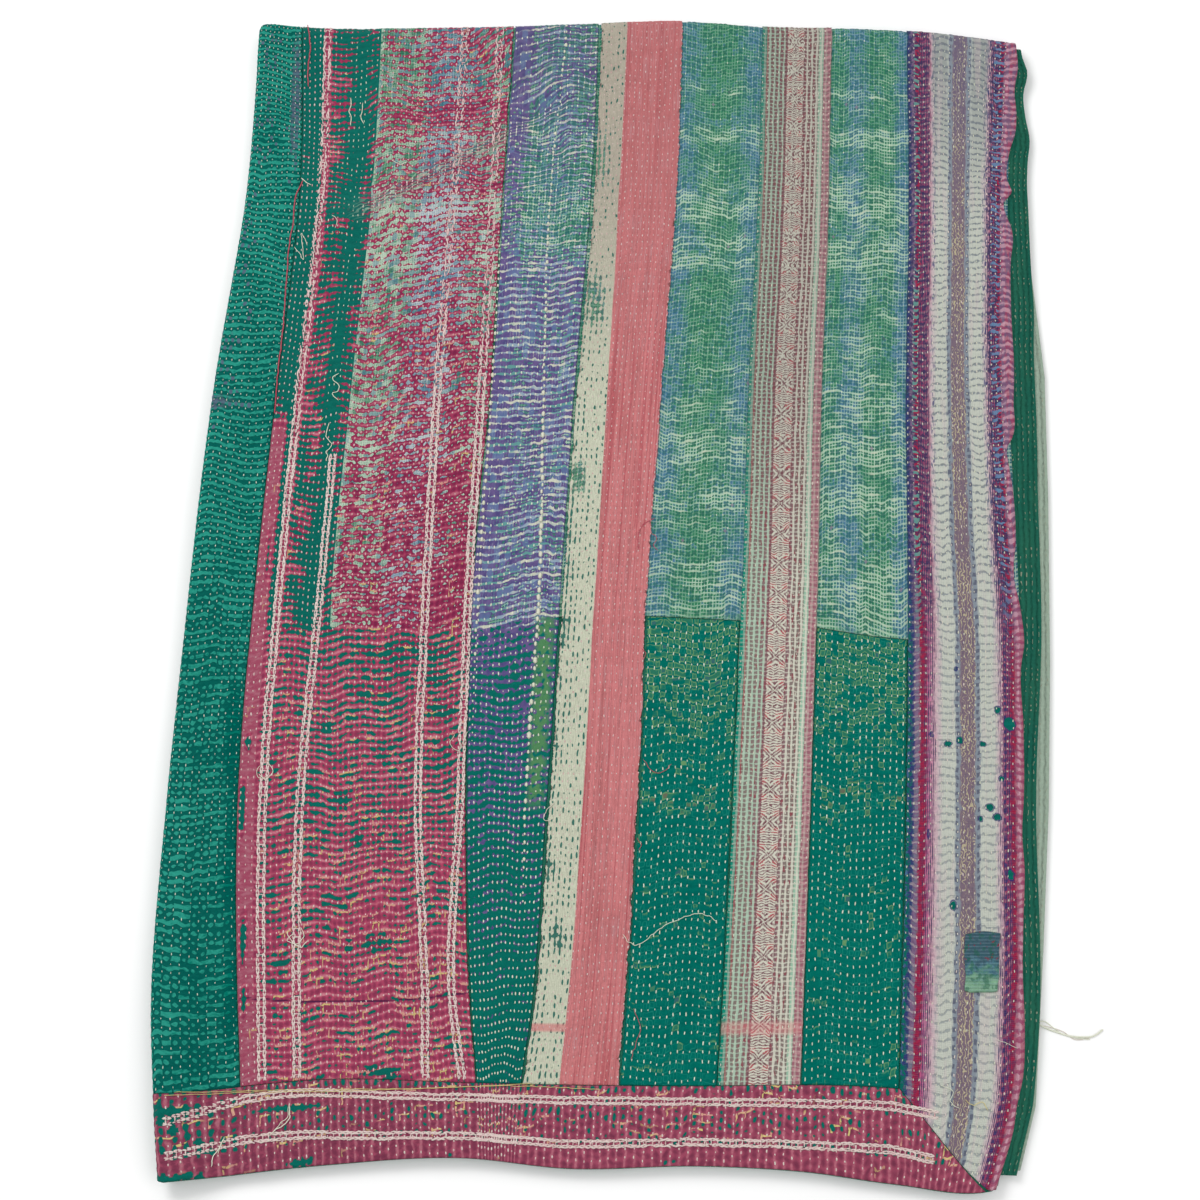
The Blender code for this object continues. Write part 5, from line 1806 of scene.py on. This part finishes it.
def ground_lattice():
    """Where the folded cloth's points lie across it, and along it round to the lower hem."""
    stops = (0, BORDER_COUNT, SEAM_COUNT, FAR_COUNT)
    flat = joined_marks(stops, [STITCH_SPACING] * 3, UNDER_STEP)
    arc = np.linspace(0, math.pi, 13)[1:]
    under = count_of(np.array((545.0, 450, 350, 225, 100, -50, -200, -330, BORDER_Y, HEM_Y)))
    counts = np.concatenate([flat, np.full(len(arc), FAR_COUNT), under])
    far_turns = np.concatenate([np.zeros(len(flat)), arc, np.full(len(under), math.pi)])
    numbers = list(ROW_ON.values())
    outer = joined_marks(numbers, [ROW_SPACING] * (len(numbers) - 1), UNDER_STEP)
    inner_shares = np.array((1, 0.75, 0.5, 0.3, 0.18, 0.1, 0.05, 0.02))
    turns = np.linspace(math.pi, 0, 11)[:-1]
    return outer, inner_shares, turns, counts, far_turns


def ground_cloth():
    """The quilted cloth itself, in four layers, as one closed sheet."""
    outer, inner_shares, turns, counts, far_turns = ground_lattice()
    nominal = nominal_of(counts)[:, None]
    far_turn = far_turns[:, None]
    down = (1 - np.cos(far_turn)) / 2
    fold_x = row_x(0.0, nominal, down)
    swing = read_down(nominal, SECOND_EDGE_WAVES)
    edge_x = blend(along("second_edge", nominal), along("third_edge", nominal), down) + swing
    inner_x = blend(fold_x, edge_x, inner_shares[None])
    outer_x = row_x(outer[None], nominal, down)
    shape = (len(counts), 1)
    x = np.concatenate([inner_x, np.repeat(fold_x, len(turns), 1), outer_x], axis=1)
    roll = np.concatenate([np.full(len(inner_shares), math.pi), turns, np.zeros(len(outer))])
    roll = np.tile(roll, shape)
    nominal, far_turn = np.broadcast_to(nominal, x.shape), np.broadcast_to(far_turn, x.shape)
    mid = sheet_place(x, nominal, far_turn, roll)
    normal = np.cross(np.gradient(mid, axis=1), np.gradient(mid, axis=0))
    normal /= np.linalg.norm(normal, axis=-1, keepdims=True)
    face, back = mid + normal * CLOTH / 2, mid - normal * CLOTH / 2
    arc_rows = np.concatenate([-(inner_shares * 150 + 3), -turns * 0.9, outer])
    rows = np.tile(arc_rows, shape)
    arc_counts = np.where(far_turns > 0, FAR_COUNT + far_turns * 1.2, counts)
    arc_counts = np.where(far_turns >= math.pi, 2 * FAR_COUNT + 3.8 - counts, arc_counts)
    run = np.tile(arc_counts[:, None], (1, x.shape[1]))
    pale = (roll > 3) * (far_turn > 1.6) * 1.0
    layers = {"maps": {"rows": (rows, stitch_phase(rows, run))}, "values": {"pale": pale}}
    return closed_sheet("ground_cloth", face, back, 1, layers)


def face_pieces():
    """The sewn-on pieces and the green face cloth between them, laid out row by row."""
    made = {}
    near = BORDER_COUNT + NEAR_GAP
    strips = {
        # piece: left and right line, how scalloped its sides are, worn values
        "magenta_panel": ("magenta_left", "magenta_right", (0.6, 1.6), worn_magenta),
        "purple_strip": ("magenta_right", "cream_left", (1.4, 1.6), worn_purple),
        "cream_pink_strip": ("cream_left", "pink_right", (4.2, 4.2), worn_cream),
        "woven_strip": ("woven_left", "woven_right", (1.6, 1.2), None),
    }
    for name, (left, right, scallops, values) in strips.items():
        rows, counts = field(marks(ROW_ON[left], ROW_ON[right], ROW_SPACING), near)
        made[name] = lay_piece(name, rows, counts, on_plaid, PIECE, 1.0, scallops, values)
    left_edge = -ROLL_TURN * (ROLL_HALF_GAP + CLOTH / 2) / ROW_PITCH
    _, magenta, *_, pink_end, woven, woven_end, border, _ = ROW_ON.values()
    greens = {
        # piece: left and right row, far count, worn values
        "green_face_left": (left_edge, magenta, FAR_COUNT, worn_left_green),
        "green_face_middle": (pink_end, woven, SEAM_COUNT - NEAR_GAP, olive_cells),
        "green_face_right": (woven_end, border, SEAM_COUNT - NEAR_GAP, olive_cells),
    }
    for name, (left, right, far, values) in greens.items():
        rows, counts = field(marks(left, right, ROW_SPACING), near, far)
        made[name] = lay_piece(name, rows, counts, against_ground, FACE, 1.0, (0, 0), values)
    for build in (plaid_panel, side_border, bottom_border, darned_patch):
        made[build.__name__] = build()
    return made


def plaid_panel():
    """One sheet under the strips, puckered where it shows and smooth under them."""
    numbers = [number for number in ROW_ON.values() if number >= ROW_ON["plaid_left"]]
    stretches = list(zip(numbers, numbers[1:]))
    shown = stretches[3], stretches[5]  # beside the woven strip
    spacings = [ROW_SPACING if each in shown else 3 * ROW_SPACING for each in stretches]
    row_marks = joined_marks(numbers, spacings)
    rows, counts = field(row_marks, SEAM_COUNT + NEAR_GAP)
    visible = sum(
        fade((left + 0.8 - rows) / 0.8) * fade((rows - right + 0.8) / 0.8) for left, right in shown
    )
    return lay_piece("plaid_panel", rows, counts, on_ground, PIECE, visible, (0.8, 0))


SWING_ROW, SWING_ROWS = 139, 8  # the row from which the open edge swings, fully so many rows on


def side_border():
    """The side border, whose near end lies on the mitred seam."""
    row_marks = marks(ROW_ON["side_border_left"], ROW_ON["top_edge"], ROW_SPACING)
    spread = np.linspace(0.0, BORDER_COUNT, 60)
    ends = np.interp(row_marks, mitre_row(spread)[::-1], spread[::-1])
    rows, counts = field(row_marks, ends + NEAR_GAP)
    wave = read_down(nominal_of(counts), TOP_EDGE_WAVES) / ROW_PITCH
    rows += wave * np.clip((rows - SWING_ROW) / SWING_ROWS, 0, 1)
    span = row_marks[0] + 0.1, row_marks[-1]
    return lay_piece("side_border", rows, counts, on_plaid, PIECE, 1.0, (1.6, 0.2), worn_side, span)


def bottom_border():
    """The bottom border, from the lengthwise fold to the mitred seam."""
    counts = marks(NEAR_GAP, BORDER_COUNT - NEAR_GAP, STITCH_SPACING)
    straight = marks(-1.2, ROW_ON["side_border_left"], ROW_SPACING)
    shares = np.linspace(0, 1, 6 * UNDER_STEP + 1)[1:]
    ends = mitre_row(counts) - 2 * NEAR_GAP
    corner = blend(straight[-1], ends[:, None], shares)
    rows = np.concatenate([np.tile(straight, (len(counts), 1)), corner], axis=1)
    counts = np.tile(counts[:, None], (1, rows.shape[1]))
    return lay_piece("bottom_border", rows, counts, on_ground, PIECE, 0.9, (0, 0), worn_bottom)


PATCH_X, PATCH_Y = (326.0, 359.0), (-368.0, -317.0)


def darned_patch():
    """The small darned patch on the side border."""
    left, right = row_at(np.array(PATCH_X), -342.0)
    near, far = (count_of(y) for y in PATCH_Y)
    rows, counts = np.meshgrid(marks(left, right, 0.3), marks(near, far, STITCH_SPACING))
    up = (counts - near) / (far - near)
    side = 2 * (rows - left) / (right - left) - 1
    rows = rows - 0.22 * side * (1 - up) + 0.16 * soft_noise(counts / 1.3, 0 * counts, 91)
    counts = counts - 0.42 * side**2 * (up - 0.4) + 0.14 * soft_noise(rows / 1.3, 0 * rows, 93)

    def on_border(rows, counts):
        return on_ground(rows, counts) + PIECE + SEAT + PUCKER / 2

    return lay_piece("darned_patch", rows, counts, on_border, 0.5, 0.5)


PIECES = {
    # piece: slot, node that it replaces, flat cut in metres, finish
    "ground_cloth": ("ground_cloth", "quilt_cloth", (1.60, 2.31), ground_finish),
    "magenta_panel": ("magenta_cloth", "magenta_panel", (0.205, 1.07), magenta_finish),
    "purple_strip": ("purple_cloth", "purple_strip", (0.075, 1.07), purple_finish),
    "cream_pink_strip": ("cream_pink_cloth", "cream_pink_strip", (0.085, 1.07), cream_pink_finish),
    "woven_strip": ("woven_cloth", "woven_strip", (0.073, 1.07), woven_finish),
    "plaid_panel": ("plaid_cloth", "plaid_panel", (0.635, 0.65), plaid_finish),
    "green_face_left": ("ground_cloth", None, (0.07, 1.07), left_green_finish),
    "green_face_middle": ("ground_cloth", None, (0.09, 0.43), green_finish),
    "green_face_right": ("ground_cloth", None, (0.085, 0.43), green_finish),
    "side_border": ("side_border_cloth", "side_border", (0.105, 1.13), side_border_finish),
    "bottom_border": ("bottom_border_cloth", "bottom_border", (0.70, 0.075), bottom_border_finish),
    "darned_patch": ("darned_cloth", "darned_patch", (0.033, 0.051), patch_finish),
}


def dress(pieces):
    """Gives every sheet its finish and its body, and hides the node that it replaces."""
    made = {}
    for name, obj in pieces.items():
        slot, node, _, finish = PIECES[name]
        if finish not in made:
            made[finish] = finish()
        obj.data.materials.append(made[finish])
        if name == node:
            obj.name = name + "_top"  # the node keeps the plain name
        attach(obj, "root")
        if node:
            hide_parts(node)


def declare_sheets(pieces, thread_pieces):
    for name, obj in pieces.items():
        rests_on = [] if name == "ground_cloth" else [pieces["ground_cloth"].name]
        with_pieces = thread_pieces if name == "ground_cloth" else []


def sew(rng):
    thread = thread_finish()
    tree = stitch_tree(thread)
    tables = {**all_stitches(rng), **yarn_points(rng)}
    made = [stitches_on(name, tables[name], tree, seed) for seed, name in enumerate(tables)]
    made.append(loose_threads(thread, rng))
    for obj in made:
        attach(obj, "root")
    return made


# ---- Studio ----

FLOOR_HALF = 6.0
FLOOR_COLOUR = (0.92, 0.92, 0.92, 1)
SKY_STRENGTH = 0.75
LAMPS = (
    # name, place, energy, size
    ("key", (-1.6, 1.5, 2.6), 55, 1.6),
    ("fill", (1.8, -1.2, 2.6), 18, 2.4),
)
CAMERA_DISTANCE = 2.6
CAMERA_ELEVATION = math.radians(72)
CAMERA_LENS = 83.0


def aim(obj, target):
    direction = Vector(target) - Vector(obj.location)
    obj.rotation_euler = direction.to_track_quat("-Z", "Y").to_euler()


def studio():
    mesh = bpy.data.meshes.new("floor")
    corners = [(x * FLOOR_HALF, y * FLOOR_HALF, 0) for x, y in ((-1, -1), (1, -1), (1, 1), (-1, 1))]
    mesh.from_pydata(corners, [], [(0, 1, 2, 3)])
    pale = bpy.data.materials.new("pale_floor")
    pale.use_nodes = True
    shader = pale.node_tree.nodes["Principled BSDF"]
    shader.inputs["Base Color"].default_value = FLOOR_COLOUR
    shader.inputs["Roughness"].default_value = 0.8
    mesh.materials.append(pale)
    add_object("floor", mesh)
    world = bpy.data.worlds.new("studio")
    world.use_nodes = True
    world.node_tree.nodes["Background"].inputs["Color"].default_value = (1, 1, 1, 1)
    world.node_tree.nodes["Background"].inputs["Strength"].default_value = SKY_STRENGTH
    bpy.context.scene.world = world
    bpy.context.scene.view_settings.view_transform = "Standard"
    for name, place, energy, size in LAMPS:
        light = bpy.data.lights.new(name, "AREA")
        light.energy, light.size = energy, size
        lamp = add_object(name, light)
        lamp.location = place
        aim(lamp, (0, 0, 0))


def camera():
    lens = bpy.data.cameras.new("camera")
    lens.lens, lens.sensor_width = CAMERA_LENS, 36.0
    lens.clip_start, lens.clip_end = 0.05, 50.0
    obj = add_object("camera", lens)
    target = Vector(PLAN_TO_FRAME) * MM
    back = Vector((0.0, -math.cos(CAMERA_ELEVATION), math.sin(CAMERA_ELEVATION)))
    obj.location = target + CAMERA_DISTANCE * back
    aim(obj, target)
    bpy.context.scene.camera = obj


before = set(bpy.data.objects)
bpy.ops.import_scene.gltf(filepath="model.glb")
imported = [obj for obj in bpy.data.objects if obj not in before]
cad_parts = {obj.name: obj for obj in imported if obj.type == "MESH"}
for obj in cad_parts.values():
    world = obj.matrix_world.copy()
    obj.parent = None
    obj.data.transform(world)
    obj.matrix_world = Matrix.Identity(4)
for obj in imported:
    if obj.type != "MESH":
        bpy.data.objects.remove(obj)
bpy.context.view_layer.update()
camera()
studio()
quilt = {"ground_cloth": ground_cloth(), **face_pieces()}
dress(quilt)
threads = sew(np.random.RandomState(2024))
declare_sheets(quilt, threads)
